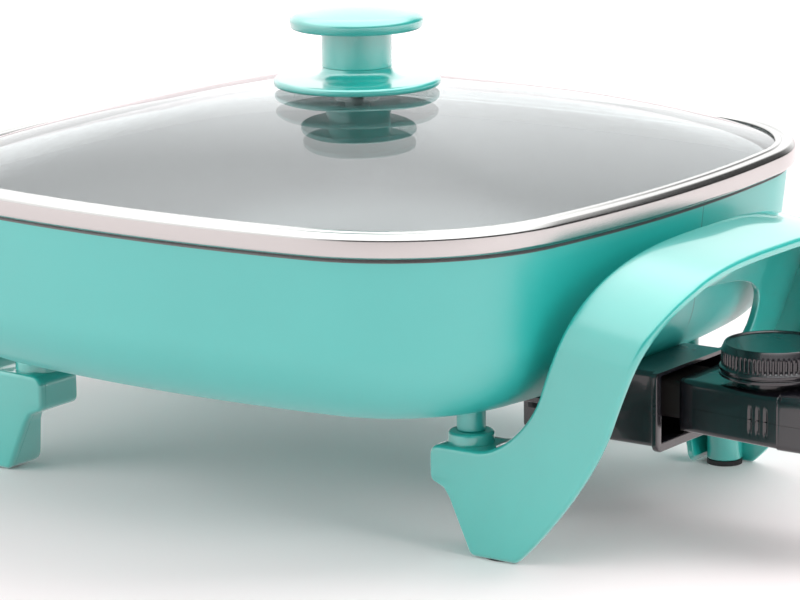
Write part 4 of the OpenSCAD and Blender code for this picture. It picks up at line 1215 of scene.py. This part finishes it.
    def rows(self) -> tuple[Array, Array, Array]:
        """The rows of the skin from one foot over the grip to the other foot.

        On the legs a row joins matching places of both edges in the plane of the leg's front, and over
        the grip it is a level line of the arch, cut off where it meets the two edges.

        Returns:
            Inner ends, outer ends and inward normals.
        """
        inner, outer = self.inner_line(), self.outer_line()
        leg_i, leg_o = self.leg(inner), self.leg(outer)
        run_i, run_o = travel(leg_i), travel(leg_o)
        places = zip((self.toe[0], self.ball, *self.toe[2:]), self.across)
        keys = np.array([[nearest(leg_i, run_i, p), nearest(leg_o, run_o, q)] for p, q in places]
                        + [[run_i[-1], run_o[-1]]])
        u = stations(run_i, self.step)
        a = resample(leg_i, u / run_i[-1])
        b = resample(leg_o, np.interp(u, keys[:, 0], keys[:, 1]) / run_o[-1])
        face = np.full(len(u), -self.front)
        ends_a, ends_b = (np.stack([p[:, 0], face, p[:, 1]], axis=1) for p in (a, b))
        upright = np.tile([0.0, 1.0, 0.0], (len(u), 1))
        y, lift, in_y, in_lift = self.arch(0.0)
        phi = math.radians(self.slope)
        over_n = np.stack([in_lift * math.sin(phi), in_y, in_lift * math.cos(phi)], axis=1)
        (ax, az), (bx, bz) = self.at_lift(inner, lift), self.at_lift(outer, lift)
        over_a, over_b = np.stack([ax, y, az], axis=1), np.stack([bx, y, bz], axis=1)
        inner_ends, outer_ends, normals = (np.concatenate([near, over, near[::-1] * MIRROR_Y]) for near, over
                                           in ((ends_a, over_a), (ends_b, over_b), (upright, over_n)))
        return inner_ends, outer_ends, normals

    def plate(self) -> tuple[Array, Array]:
        """The skin, and the rib under the grip's middle.

        A point of a section is its row's end, moved a distance into the part along the surface and a
        depth along the inward normal.  Both edges of the skin are quarter arcs.

        Returns:
            The grid of the skin and the grid of the rib.
        """
        a, b, n = self.rows()
        into_a = unit(np.cross(n, np.gradient(a, axis=0)))
        into_b = -unit(np.cross(n, np.gradient(b, axis=0)))
        r, k = self.edge, self.skin

        def ends(end: Array, into: Array, side: Sequence[float], depth: Sequence[float]) -> Array:
            """Points near one end of every row: end + side * into + depth * normal.

            Args:
                end: The rows' ends.
                into: The directions into the part along the surface.
                side: Distances along them.
                depth: Depths below the surface.

            Returns:
                A grid of points.
            """
            s, d = (np.asarray(v, float)[None, :, None] for v in (side, depth))
            return end[:, None] + into[:, None] * s + n[:, None] * d

        turn = np.radians(np.linspace(0, 90, 7))
        rising = ends(a, into_a, r - r * np.cos(turn), r - r * np.sin(turn))
        falling = ends(b, into_b, r - r * np.sin(turn), r - r * np.cos(turn))
        low_b = ends(b, into_b, [0.0, 0.0, 0.4], [0.7 * k, k - 0.4, k])
        low_a = ends(a, into_a, [0.4, 0.0, 0.0], [k, k - 0.4, 0.7 * k])
        share = np.linspace(0, 1, 14)[1:-1][None, :, None]
        top = rising[:, -1:] * (1 - share) + falling[:, :1] * share
        under = low_b[:, -1:] * (1 - share) + low_a[:, :1] * share
        skin = np.concatenate([rising, top, falling, low_b, under, low_a], axis=1)
        side = np.array([-1.0, 1.0, 1.0, 0.6, -0.6, -1.0])[None, :, None]
        root, tip = k - 0.5, self.rib_deep
        deep = np.array([root, root, tip - 0.4, tip, tip, tip - 0.4])[None, :, None]
        middle = (a + b) / 2
        rib = middle[:, None] + unit(b - a)[:, None] * side + n[:, None] * deep
        return skin, rib[middle[:, 2] > self.rib_low]

    def flange(self) -> Array:
        """The wall along the edge towards the pan, as one section swept from shin to shin.

        On the legs a point of depth d lies d behind the leg's front.  Over the grip it lies the same
        share of the way from the outer arch to the inner arch, on the edge's own line at that height.
        The wall's thickness goes into the part across that line.

        Returns:
            The grid of the wall.
        """
        line = self.inner_line()
        run_all = travel(line)
        tangent = unit(np.gradient(resample(line, np.linspace(0, 1, 1600)), axis=0))
        places = np.linspace(0, run_all[-1], 1600)
        leg = self.leg(line)
        run = travel(leg)
        u = stations(run, self.step)
        start_z = self.sole + 0.05
        u = u[(u > nearest(leg, run, (115.0, start_z))) & (u < nearest(leg, run, self.knee))]
        at = resample(leg, u / run[-1])
        tab, tab_end = nearest(leg, run, self.toe[3]), nearest(leg, run, self.toe[-1])
        share = (self.shin_z - at[:, 1]) / (self.shin_z - start_z)
        shin = self.shin_top + (self.shin_foot - self.shin_top) * share
        corner = np.clip(self.shin_r - (u - u[0]), 0.0, self.shin_r)
        shin = shin - (self.shin_r - np.sqrt(np.maximum(self.shin_r**2 - corner**2, 0.0)))
        into_tab = smoothstep(u, tab - 0.5, tab + 1.5)
        deep = shin * (1 - into_tab) + self.tab_deep * into_tab
        deep = deep + (self.deep - self.tab_deep) * smoothstep(u, tab_end - 1, tab_end + 3)
        t, e, top = self.wall, 0.7, self.skin - 0.2
        turn = np.radians(np.linspace(0, 90, 5))
        down = np.linspace(0, 1, 8)
        side = np.concatenate([np.zeros(len(down)), e - e * np.cos(turn[1:]), t - e + e * np.sin(turn),
                               np.full(len(down) - 1, t)])
        rest = np.concatenate([e * np.sin(turn[1:]), e * np.cos(turn)])

        def depths(full: Array) -> Array:
            """Depth of every point of the section.

            Args:
                full: The wall's full depth in each row.

            Returns:
                The depths, (rows, points).
            """
            straight = top + (full[:, None] - e - top) * down[None]
            bottom = full[:, None] - e + rest[None]
            return np.concatenate([straight, bottom, straight[:, ::-1][:, 1:]], axis=1)

        def aside(run_at: Array) -> Array:
            """Directions across the line, into the part."""
            dx, dz = (np.interp(run_at, places, tangent[:, k]) for k in (0, 1))
            return unit(np.stack([dz, -dx], axis=-1))

        way = aside(u)
        x, z = at[:, :1] + way[:, :1] * side, at[:, 1:] + way[:, 1:] * side
        legs = np.stack([x, -self.front + depths(deep), z], axis=2)
        (y0, l0, _, _), (y1, l1, _, _) = self.arch(0.0), self.arch(self.deep, self.drop)
        knee = self.lift(np.array([self.knee]))[0]
        rising = np.linspace(knee + 0.6, self.bend_z, 14)
        late = rising - self.drop * smoothstep(rising, knee, self.bend_z)
        near = np.full(len(rising), -self.front)
        y0, y1 = (np.concatenate([near + d, y, -near[::-1] - d]) for d, y in ((0.0, y0), (self.deep, y1)))
        l0, l1 = (np.concatenate([r, v, r[::-1]]) for r, v in ((rising, l0), (late, l1)))
        share = depths(np.full(len(y0), self.deep)) / self.deep
        y, lift = (p[:, None] + (q - p)[:, None] * share for p, q in ((y0, y1), (l0, l1)))
        px, pz = self.at_lift(line, lift)
        run_at = np.interp(pz, line[-RISING:, 1], run_all[-RISING:])
        way = aside(run_at)
        over = np.stack([px + way[..., 0] * side, y, pz + way[..., 1] * side], axis=2)
        return np.concatenate([legs, over, legs[::-1] * MIRROR_Y])

    def build(self, side: int, name: str, node: str) -> bpy.types.Object:
        """Builds a handle.

        Args:
            side: 1 on the right and -1 on the left.
            name: The object's name.
            node: The node that it stands for.

        Returns:
            The object.
        """
        flip = np.array([float(side), 1.0, 1.0])
        skin, rib = self.plate()
        piece = Piece(name).grid(skin * flip).grid(rib * flip).grid(self.flange() * flip)
        rc, rb, rf = self.collar_r, self.boss_r, self.foot_r
        (c0, c1), (b0, b1), (f0, f1) = self.collar_z, self.boss_z, self.foot_z
        collar = fillet([[rc, c0], [0.0, c0], [0.0, c1], [rc, c1]], [0, 0, 1.3, 0], 6)[1:]
        boss = fillet([[rb, b0], [0.0, b0], [0.0, b1]], [0, 0.5, 0], 4)[1:]
        foot = fillet([[rf, f0], [0.0, f0], [0.0, f1], [rf, f1]], [0, 0.8, 0.8, 0], 5)[1:]
        for sy in (-1, 1):
            for radius, n, rows, at in ((rc, 72, collar, self.post), (rb, 48, boss, self.post),
                                        (rf, 64, foot, self.foot)):
                piece.grid(Loop.circle(radius, n).carry(rows) + np.array([at[0] * side, at[1] * sy, 0.0]))
        return piece.build(Body.SKILLET, "turquoise_handle", node, 36.0)


# ------------------------------------------------------------------ socket


@dataclass
class Socket:
    """The black shroud that the control plugs into, cut to the pan's underside.

    Attributes:
        pan: The pan that it is screwed to.
        x0: Its end under the pan.
        x1: Its mouth.
        half: Half its width.
        low: Height of its underside.
        high: Height of its top.
        wall: Thickness of its walls; top_wall is that of its roof.
        lip: How far the frame round the mouth stands out.
        frame: Length of that frame.
        corner: Radius of its long edges.
        gap: Gap that is left under the pan.
        back: How far its end wall reaches inwards from the outside.
        turned: Share of the profile after which its points lie inside.
        ear: Place of the ear for its screw.
        ear_half: Half the sides of the ear.
        ear_r: Radius of the ear's corners.
        ear_z: Heights of the ear's underside and top.
    """

    pan: Pan
    x0: float = 96.0
    x1: float = 158.0
    half: float = 25.0
    low: float = 34.0
    high: float = 63.6
    wall: float = 2.2
    lip: float = 1.8
    frame: float = 2.5
    top_wall: float = 1.2
    corner: float = 2.0
    gap: float = 0.35
    back: float = 13.5
    turned: float = 0.62
    ear: Pair = (106.0, 29.8)
    ear_half: Pair = (6.0, 5.6)
    ear_r: float = 1.5
    ear_z: Pair = (47.4, 50.0)

    def build(self) -> bpy.types.Object:
        """Carries rounded rectangles along x: the outside, the mouth frame and back along the inside.

        Every point above the pan's underside is lowered to a running gap below it, and the roof is
        thinner than the other walls: its inside is raised by the difference.

        Returns:
            The object, with the two ears of its screws.
        """
        mid, tall = (self.low + self.high) / 2, (self.high - self.low) / 2
        loop = Loop.rectangle(self.half, tall, self.corner, 6, (0.0, mid))
        w, lip, edge = self.wall, -self.lip, self.x1 - self.frame
        corners = [[0.0, self.x0], [0.0, edge], [lip, edge], [lip, self.x1], [w, self.x1], [w, self.x0 + w],
                   [w + 6, self.x0 + w]]
        line = fillet([[6.0, self.x0], *corners], [0, 0.6, 0.5, 0.5, 0.6, 0.9, 0.8, 0], 4)
        rows = np.concatenate([[[self.back, self.x0]], line, [[self.back, self.x0 + w]]])
        dense = np.concatenate([np.linspace(p, q, max(2, int(np.linalg.norm(q - p) / 3)), endpoint=False)
                                for p, q in zip(rows[:-1], rows[1:])] + [rows[-1:]])
        points = loop.carry(dense, Along.X)
        ceiling = self.pan.under(points[..., 0], points[..., 1]) - self.gap
        inner = np.arange(len(dense))[:, None] > len(dense) * self.turned
        above = inner & (points[..., 2] > mid)
        points[..., 2] += np.where(above, self.wall - self.top_wall, 0.0)
        ceiling = np.minimum(ceiling - np.where(inner, 0.5, 0.0), self.high)
        points[..., 2] = np.minimum(points[..., 2], ceiling)
        piece = Piece("socket_shell").grid(points)
        low, high = self.ear_z
        for sy in (-1, 1):
            ear = Loop.rectangle(*self.ear_half, self.ear_r, 5, (self.ear[0], sy * self.ear[1]))
            piece.grid(ear.carry([[0.4, low], [0.0, low + 0.4], [0.0, high - 0.4], [0.4, high]]))
        return piece.build(Body.SKILLET, "black_gloss", "socket_shroud", 36.0)


# ------------------------------------------------------------------ control


@dataclass
class Control:
    """The case of the pull-out control, its nose and its dial.

    Attributes:
        x0: The case's end at the socket.
        grip_x: Where the grip starts.
        x1: The grip's end.
        half0: Half the case's width at the socket; half1 is that at the grip.
        swell: How far the grip stands out on each side.
        low: Height of the tapering part's underside.
        high: Height of its top.
        seam: Height of the seam between both halves.
        seam_gap: Half the gap in that seam.
        seat_r: Radius of the dial's round seat.
        seat_z: Height of its top.
        flutes: Places of the three flutes.
        flute_z: Heights between which they run.
        flute_half: Half their width; flute_deep is their depth.
        nose_half: Half the width and half the height of the nose.
        nose_z: Height of the nose's middle.
        nose_x: Its two ends.
        dial_x: Place of the dial's axis.
        dial_z: Height of the dial's foot.
        dial_r: Radius over the ribs; dial_high is the height.
        dial_points: Points round the dial.
        ribs: How many ribs it has.
        rib_deep: Depth of the hollows between them.
        rib_from: Heights between which the hollows start, above the dial's foot.
        rib_to: Heights between which they end.
    """

    x0: float = 161.0
    grip_x: float = 205.0
    x1: float = 246.0
    half0: float = 15.5
    half1: float = 19.8
    swell: float = 0.8
    low: float = 39.3
    high: float = 59.9
    seam: float = 49.15
    seam_gap: float = 0.05
    seat_r: float = 14.0
    seat_z: float = 62.3
    flutes: Triple = (194.0, 197.6, 201.2)
    flute_z: Pair = (44.2, 53.8)
    flute_half: float = 1.1
    flute_deep: float = 0.55
    nose_half: Pair = (14.5, 7.2)
    nose_z: float = 51.0
    nose_x: Pair = (138.0, 164.95)
    dial_x: float = 193.8
    dial_z: float = 62.8
    dial_r: float = 20.3
    dial_high: float = 12.8
    dial_points: int = 768
    ribs: int = 64
    rib_deep: float = 0.55
    rib_from: Pair = (4.3, 4.9)
    rib_to: Pair = (9.7, 10.2)

    @staticmethod
    def section(half: Array, low: Array, high: Array, corner: Array, upper: Array) -> Array:
        """Round-cornered rectangles in y and z, each from four quarter arcs and the sides between them.

        Args:
            half: Half the width of each.
            low: Its underside.
            high: Its top.
            corner: Radius of its lower corners.
            upper: Radius of its upper corners.

        Returns:
            The points, (sections, points, 2).
        """
        t = np.radians(np.linspace(0, 90, 7))
        parts = []
        for q, (sy, sz) in enumerate(((1, 1), (-1, 1), (-1, -1), (1, -1))):
            angle = t + q * math.pi / 2
            r = upper if sz > 0 else corner
            y = sy * (half - r)[:, None] + r[:, None] * np.cos(angle)
            z = ((high - r) if sz > 0 else (low + r))[:, None] + r[:, None] * np.sin(angle)
            parts.append(np.stack([y, z], axis=2))
        ring = np.concatenate(parts, axis=1)
        ring = np.concatenate([ring, ring[:, :1]], axis=1)
        fine = []
        for i in range(ring.shape[1] - 1):
            steps = 15 if i % len(t) == len(t) - 1 else 1
            s = np.linspace(0, 1, steps, endpoint=False)[None, :, None]
            fine.append(ring[:, i:i + 1] * (1 - s) + ring[:, i + 1:i + 2] * s)
        return np.concatenate(fine, axis=1)

    def loft(self, x: Array, half: Array, low: float, high: float,
             corner: float, upper: float, end: float) -> Array:
        """A box of changing width along x whose two ends are rounded.

        Near an end the section is smaller all round by end (1 - sin t), where t is the angle of the
        quarter arc that rounds it.

        Args:
            x: Places of the sections.
            half: Half their widths.
            low: The underside.
            high: The top.
            corner: Radius of the lower long edges.
            upper: Radius of the upper long edges.
            end: Radius of the edges at both ends.

        Returns:
            A grid of points.
        """
        t = np.radians(np.linspace(0, 90, 6))
        shrink0, shrink1 = end * (1 - np.sin(t)), end * (1 - np.cos(t))
        xs = np.concatenate([x[0] + end * (1 - np.cos(t)), x[1:-1], x[-1] - end + end * np.sin(t)])
        inset = np.concatenate([shrink0, np.zeros(len(x) - 2), shrink1])
        order = np.argsort(xs, kind="stable")
        xs, inset = xs[order], inset[order]
        radii = (np.maximum(r - inset, 0.05) for r in (corner, upper))
        flat = self.section(np.interp(xs, x, half) - inset, low + inset, high - inset, *radii)
        return np.concatenate([np.broadcast_to(xs[:, None, None], flat.shape[:2] + (1,)), flat], axis=2)

    def fluting(self, points: Array) -> Array:
        """Depth of the three upright flutes: a raised cosine across each, faded out at both ends.

        Args:
            points: Points of the case.

        Returns:
            How far each lies below the plain side.
        """
        across = np.abs(points[..., None, 0] - np.array(self.flutes))
        bowl = (0.5 + 0.5 * np.cos(math.pi * np.clip(across / self.flute_half, 0, 1))).sum(axis=-1)
        low, high = self.flute_z
        z = points[..., 2]
        starts, stops = smoothstep(z, low - 0.4, low + 0.6), smoothstep(z, high - 0.6, high + 0.4)
        return self.flute_deep * bowl * starts * (1 - stops)

    def parts(self) -> list[Array]:
        """The tapering part with its flutes and the grip as two overlapping lofts.

        Half the grip's width falls by 5 t^1.6, where t goes from 0 to 1 over the last 9 before its end.

        Returns:
            Both grids.
        """
        x = np.linspace(self.x0, self.grip_x + 3, 160)
        half = self.half0 + (self.half1 - self.half0) * (x - self.x0) / (self.grip_x - 1.5 - self.x0)
        taper = self.loft(x, half, self.low, self.high, corner=2.2, upper=2.2, end=2.2)
        taper[..., 1] -= np.sign(taper[..., 1]) * self.fluting(taper)
        x = np.linspace(self.grip_x, self.x1, 30)
        cut = 5.0 * np.clip((x - (self.x1 - 9)) / 9, 0, 1) ** 1.6
        grip = self.loft(x, self.half1 + self.swell - cut, self.low - 0.4, self.high + 0.8,
                         corner=2.6, upper=4.8, end=2.4)
        return [taper, grip]

    def case(self) -> list[bpy.types.Object]:
        """The lower and upper halves: both lofts flattened against the seam, and the dial's round seat.

        Returns:
            The lower half and the upper half.
        """
        pieces = []
        for name, node, keep, limit in (
                ("control_case_lower", "control_base", np.minimum, self.seam - self.seam_gap),
                ("control_case_upper", "control_cover", np.maximum, self.seam + self.seam_gap)):
            piece = Piece(name)
            for part in self.parts():
                part[..., 2] = keep(part[..., 2], limit)
                piece.grid(part)
            if keep is np.maximum:
                seat = fillet([[8.0, 57.0], [0.0, 57.0], [0.0, self.seat_z], [10.0, self.seat_z]],
                              [0, 0, 0.7, 0], 5)[1:]
                piece.grid(Loop.circle(self.seat_r, 96).carry(seat) + np.array([self.dial_x, 0.0, 0.0]))
            pieces.append(piece.build(Body.CONTROL, "black_gloss", node, 38.0))
        return pieces

    def nose(self) -> bpy.types.Object:
        """The block between the socket and the case, with round edges.

        Returns:
            The object.
        """
        loop = Loop.rectangle(*self.nose_half, 1.6, 6, (0.0, self.nose_z))
        x0, x1 = self.nose_x
        rows = fillet([[6.0, x0], [0.0, x0], [0.0, x1], [6.0, x1]], [0, 1.0, 0.2, 0], 5)
        return Piece("control_nose_block").grid(loop.carry(rows, Along.X)).build(
            Body.CONTROL, "dark_moulding", "control_nose", 38.0)

    def dial(self) -> bpy.types.Object:
        """The dial: rings of a lathed profile whose middle part is pressed in between the ribs.

        The radius of a point is that of its ring less a depth times a smooth square wave of its angle.

        Returns:
            The object.
        """
        r, top = self.dial_r, self.dial_high
        under = [[3.1, 1.0], [5.4, 1.0], [5.4, 7.6], [17.6, 7.6], [17.6, 0.4]]
        lower_ring = [[r + 0.8, 0.4], [r + 0.8, 1.7], [r + 0.1, 1.9]]
        upper_ring = [[r + 0.1, 2.3], [r + 0.7, 2.5], [r + 0.7, 3.9], [r, 4.3]]
        line = fillet([*under, *lower_ring, *upper_ring, [r, 4.6], [r, 10.2], [r - 1.2, top], [r - 1.9, top],
                       [r - 2.3, top - 0.7], [0.6, top - 0.7]],
                      [0, 0.3, 0.5, 0.5, 0.3, 0.4, 0.4, 0.1, 0.1, 0.4, 0.5, 0.2, 0, 0, 0.35, 0.35, 0.4, 0], 5)
        steps = np.concatenate([np.linspace(p, q, 1 + int(abs(q[1] - p[1]) / 0.8), endpoint=False)
                                for p, q in zip(line[:-1], line[1:])] + [line[-1:]])
        angle = np.linspace(0, 2 * math.pi, self.dial_points, endpoint=False)
        wave = smoothstep(np.cos(angle * self.ribs), -0.45, 0.35)
        points = Loop.circle(0.0, self.dial_points).carry(steps * OUTWARDS)
        on_side = np.abs(steps[:, 0] - r) < 0.05
        band = smoothstep(steps[:, 1], *self.rib_from) * (1 - smoothstep(steps[:, 1], *self.rib_to)) * on_side
        shrink = 1 - self.rib_deep / r * band[:, None] * (1 - wave[None])
        points[..., :2] *= shrink[..., None]
        points += np.array([self.dial_x, 0.0, self.dial_z])
        return Piece("dial_ribbed").grid(points).build(Body.DIAL, "black_gloss", "dial", 40.0)

    def build(self) -> list[bpy.types.Object]:
        """Builds the case, the nose and the dial."""
        return [*self.case(), self.nose(), self.dial()]


# ------------------------------------------------------------------ studio


@dataclass(frozen=True)
class Camera:
    """The point of view, in millimetres and degrees about the pan's axis.

    Attributes:
        place: Where it stands.
        yaw: How far it is turned to the left of the y axis.
        pitch: How far it looks down.
        roll: How far it is turned about its own view line.
        focal: Its focal length, in pixels.
        width: The picture's width, in pixels.
        film: The same width on the film, in millimetres.
    """

    place: Triple = (883.38, -1208.46, 402.36)
    yaw: float = 35.549
    pitch: float = 12.584
    roll: float = -0.685
    focal: float = 3762.4
    width: float = 800.0
    film: float = 36.0

    def build(self) -> bpy.types.Object:
        """Makes the camera: its view line is turned by yaw and pitch, and then rolled about itself.

        Returns:
            The camera.
        """
        y, p, q = (math.radians(v) for v in (self.yaw, self.pitch, self.roll))
        ahead = Vector((-math.sin(y) * math.cos(p), math.cos(y) * math.cos(p), -math.sin(p)))
        right = Vector((math.cos(y), math.sin(y), 0.0))
        up = right.cross(ahead)
        right, up = right * math.cos(q) + up * math.sin(q), up * math.cos(q) - right * math.sin(q)
        data = bpy.data.cameras.new("camera")
        data.lens = self.focal * self.film / self.width
        data.sensor_width, data.sensor_fit = self.film, "HORIZONTAL"
        data.clip_start, data.clip_end = 0.05, 50.0
        made = bpy.data.objects.new("camera", data)
        bpy.context.scene.collection.objects.link(made)
        turn = Matrix((right, up, -ahead)).transposed().to_4x4()
        at = Vector(self.place) * MM + Vector((PAN_X, 0.0, 0.0))
        made.matrix_world = Matrix.Translation(at) @ turn
        bpy.context.scene.camera = made
        return made


@dataclass(frozen=True)
class SoftBox:
    """A lamp with a flat rectangular face, in metres and watts, which gloss doesn't show."""

    name: str
    place: Triple
    size: Pair
    power: float
    target: Triple = (0.0, 0.0, 0.08)

    def build(self) -> bpy.types.Object:
        """Makes the lamp, which looks at its target.

        Returns:
            The lamp.
        """
        data = bpy.data.lights.new(self.name, "AREA")
        data.shape, data.energy = "RECTANGLE", self.power
        data.size, data.size_y = self.size
        made = bpy.data.objects.new(self.name, data)
        made.visible_glossy = False
        bpy.context.scene.collection.objects.link(made)
        at, to = Vector(self.place), Vector(self.target)
        made.matrix_world = Matrix.Translation(at) @ (to - at).to_track_quat("-Z", "Y").to_matrix().to_4x4()
        return made


@dataclass(frozen=True)
class Studio:
    """The pale floor, the lamps and the white surroundings.

    Attributes:
        fill: Strength of the surroundings as light.
        bright: Their strength in gloss.
        zenith: Their strength in gloss overhead.
        dark: Their strength in gloss on the right.
        half: Half the floor's side, in metres.
        glow_near: The floor's own light under the skillet, as the camera sees it.
        glow_far: How much more of it there is from about a metre away.
        glow_gloss: The floor's own light in gloss.
        boxes: The lamps.
    """

    fill: float = 0.70
    bright: float = 1.7
    zenith: float = 3.0
    dark: float = 0.05
    half: float = 12.0
    glow_near: float = 0.05
    glow_far: float = 0.45
    glow_gloss: float = 0.35
    boxes: tuple[SoftBox, ...] = (
        SoftBox("overhead", (0.8, 0.9, 1.7), (1.4, 1.4), 25.0),
        SoftBox("front_left", (-1.4, -1.5, 0.9), (1.6, 1.3), 18.0),
        SoftBox("right", (1.9, -0.2, 0.9), (0.8, 1.2), 13.0))

    def world(self) -> None:
        """A world that lights evenly and is white to the camera and through glass.

        To gloss it is white on the left, and on the right dark up to about 35 degrees above the floor.
        Above that height it is brighter all round.
        """
        world = bpy.data.worlds.new("studio")
        bpy.context.scene.world = world
        world.use_nodes = True
        tree = world.node_tree
        tree.nodes.clear()

        def add(kind: str, links: dict[int, Any], **settings: Any) -> Any:
            """Adds a node.

            Args:
                kind: The node's type.
                links: Its inputs by index, as values or other nodes' outputs.
                settings: Its properties.

            Returns:
                The node.
            """
            made = tree.nodes.new(kind)
            for key, value in settings.items():
                setattr(made, key, value)
            for index, value in links.items():
                if isinstance(value, bpy.types.NodeSocket):
                    tree.links.new(value, made.inputs[index])
                else:
                    made.inputs[index].default_value = value
            return made

        def ramp(value: Any, low: float, high: float, first: float, last: float) -> Any:
            """A smooth step between two values."""
            return add("ShaderNodeMapRange", {0: value, 1: low, 2: high, 3: first, 4: last},
                       interpolation_type="SMOOTHSTEP").outputs[0]

        path = add("ShaderNodeLightPath", {})
        way = add("ShaderNodeSeparateXYZ", {0: add("ShaderNodeTexCoord", {}).outputs["Generated"]})
        dark_right = ramp(way.outputs["X"], -0.3, 0.15, 0.0, 1.0)
        dark_low = ramp(way.outputs["Z"], 0.45, 0.75, 1.0, 0.0)
        dark = add("ShaderNodeMath", {0: dark_right, 1: dark_low}, operation="MULTIPLY").outputs[0]
        above = ramp(way.outputs["Z"], 0.5, 0.7, self.bright, self.zenith)
        strength = add("ShaderNodeMapRange", {0: dark, 1: 0.0, 2: 1.0, 3: above, 4: self.dark}).outputs[0]
        light, gloss, white = (add("ShaderNodeBackground", {0: (1, 1, 1, 1), 1: value}).outputs[0]
                               for value in (self.fill, strength, 1.0))
        camera, glossy, through = (path.outputs[f"Is {kind} Ray"]
                                   for kind in ("Camera", "Glossy", "Transmission"))
        seen = add("ShaderNodeMath", {0: camera, 1: through}, operation="MAXIMUM").outputs[0]
        unseen = add("ShaderNodeMixShader", {0: glossy, 1: light, 2: gloss}).outputs[0]
        last = add("ShaderNodeMixShader", {0: seen, 1: unseen, 2: white}).outputs[0]
        add("ShaderNodeOutputWorld", {0: last})

    def floor(self) -> bpy.types.Object:
        """A large pale floor at table height, with a weak light of its own that keeps it near white.

        The camera sees glow_near + glow_far s, where s goes smoothly from 0 near the skillet to 1 about a
        metre away, and gloss sees glow_gloss.

        Returns:
            The floor.
        """
        mesh = bpy.data.meshes.new("floor")
        r = self.half
        mesh.from_pydata([(-r, -r, 0), (r, -r, 0), (r, r, 0), (-r, r, 0)], [], [(0, 1, 2, 3)])
        made = bpy.data.objects.new("floor", mesh)
        bpy.context.scene.collection.objects.link(made)
        g = Graph("floor_paper")
        grain = g.noise(300.0, 2.0)
        seen, mirrored = (g.node("ShaderNodeLightPath", {}, {}, f"Is {kind} Ray")
                          for kind in ("Camera", "Glossy"))
        distance = g.node("ShaderNodeVectorMath", {"operation": "LENGTH"}, {0: g.place()}, "Value")
        away = distance.ramp(0.5, 1.15)
        strength = seen * (away * self.glow_far + self.glow_near) + mirrored * self.glow_gloss
        # Painted counter-light: the pinkish base colour and the pink glow offset the teal light that the pan
        # bounces onto the floor, so the floor's shade reads grey; the floor itself is meant to be neutral
        # white.
        paper = g.surface(Base_Color=(0.90, 0.82, 0.825), Roughness=0.8 + grain * 0.05,
                          Specular_IOR_Level=0.1)
        glow = g.node("ShaderNodeEmission", {}, {"Color": (1.0, 0.86, 0.88), "Strength": strength})
        dress(made, g.finish(g.node("ShaderNodeAddShader", {}, {0: paper, 1: glow})))
        return made

    def build(self) -> None:
        """Builds the surroundings, the floor and the lamps."""
        self.world()
        self.floor()
        for box in self.boxes:
            box.build()
        bpy.context.scene.view_settings.view_transform = "Standard"


# ------------------------------------------------------------------ assembly


def main() -> None:
    logging.basicConfig(level=logging.INFO, format="%(message)s")
    Camera().build()
    Studio().build()
    finishes = Finishes()
    by_node = finishes.by_node()
    for name, node in frame["nodes"].items():
        dress(node, by_node[name])
    pan = Pan()
    for made in pan.build():
        dress(made, finishes.enamel)
    lid = Lid(pan).build()
    for made, finish in zip(lid, (finishes.glass, finishes.band, finishes.knob, finishes.knob)):
        dress(made, finish)
    for side, name, node in ((1, "handle_right_moulded", "handle_right"),
                             (-1, "handle_left_moulded", "handle_left")):
        dress(Handle().build(side, name, node), finishes.handle)
    dress(Socket(pan).build(), finishes.black)
    control = Control().build()
    for made, finish in zip(control, (finishes.black, finishes.black, finishes.nose, finishes.black)):
        dress(made, finish)


if __name__ == "__main__":
    main()
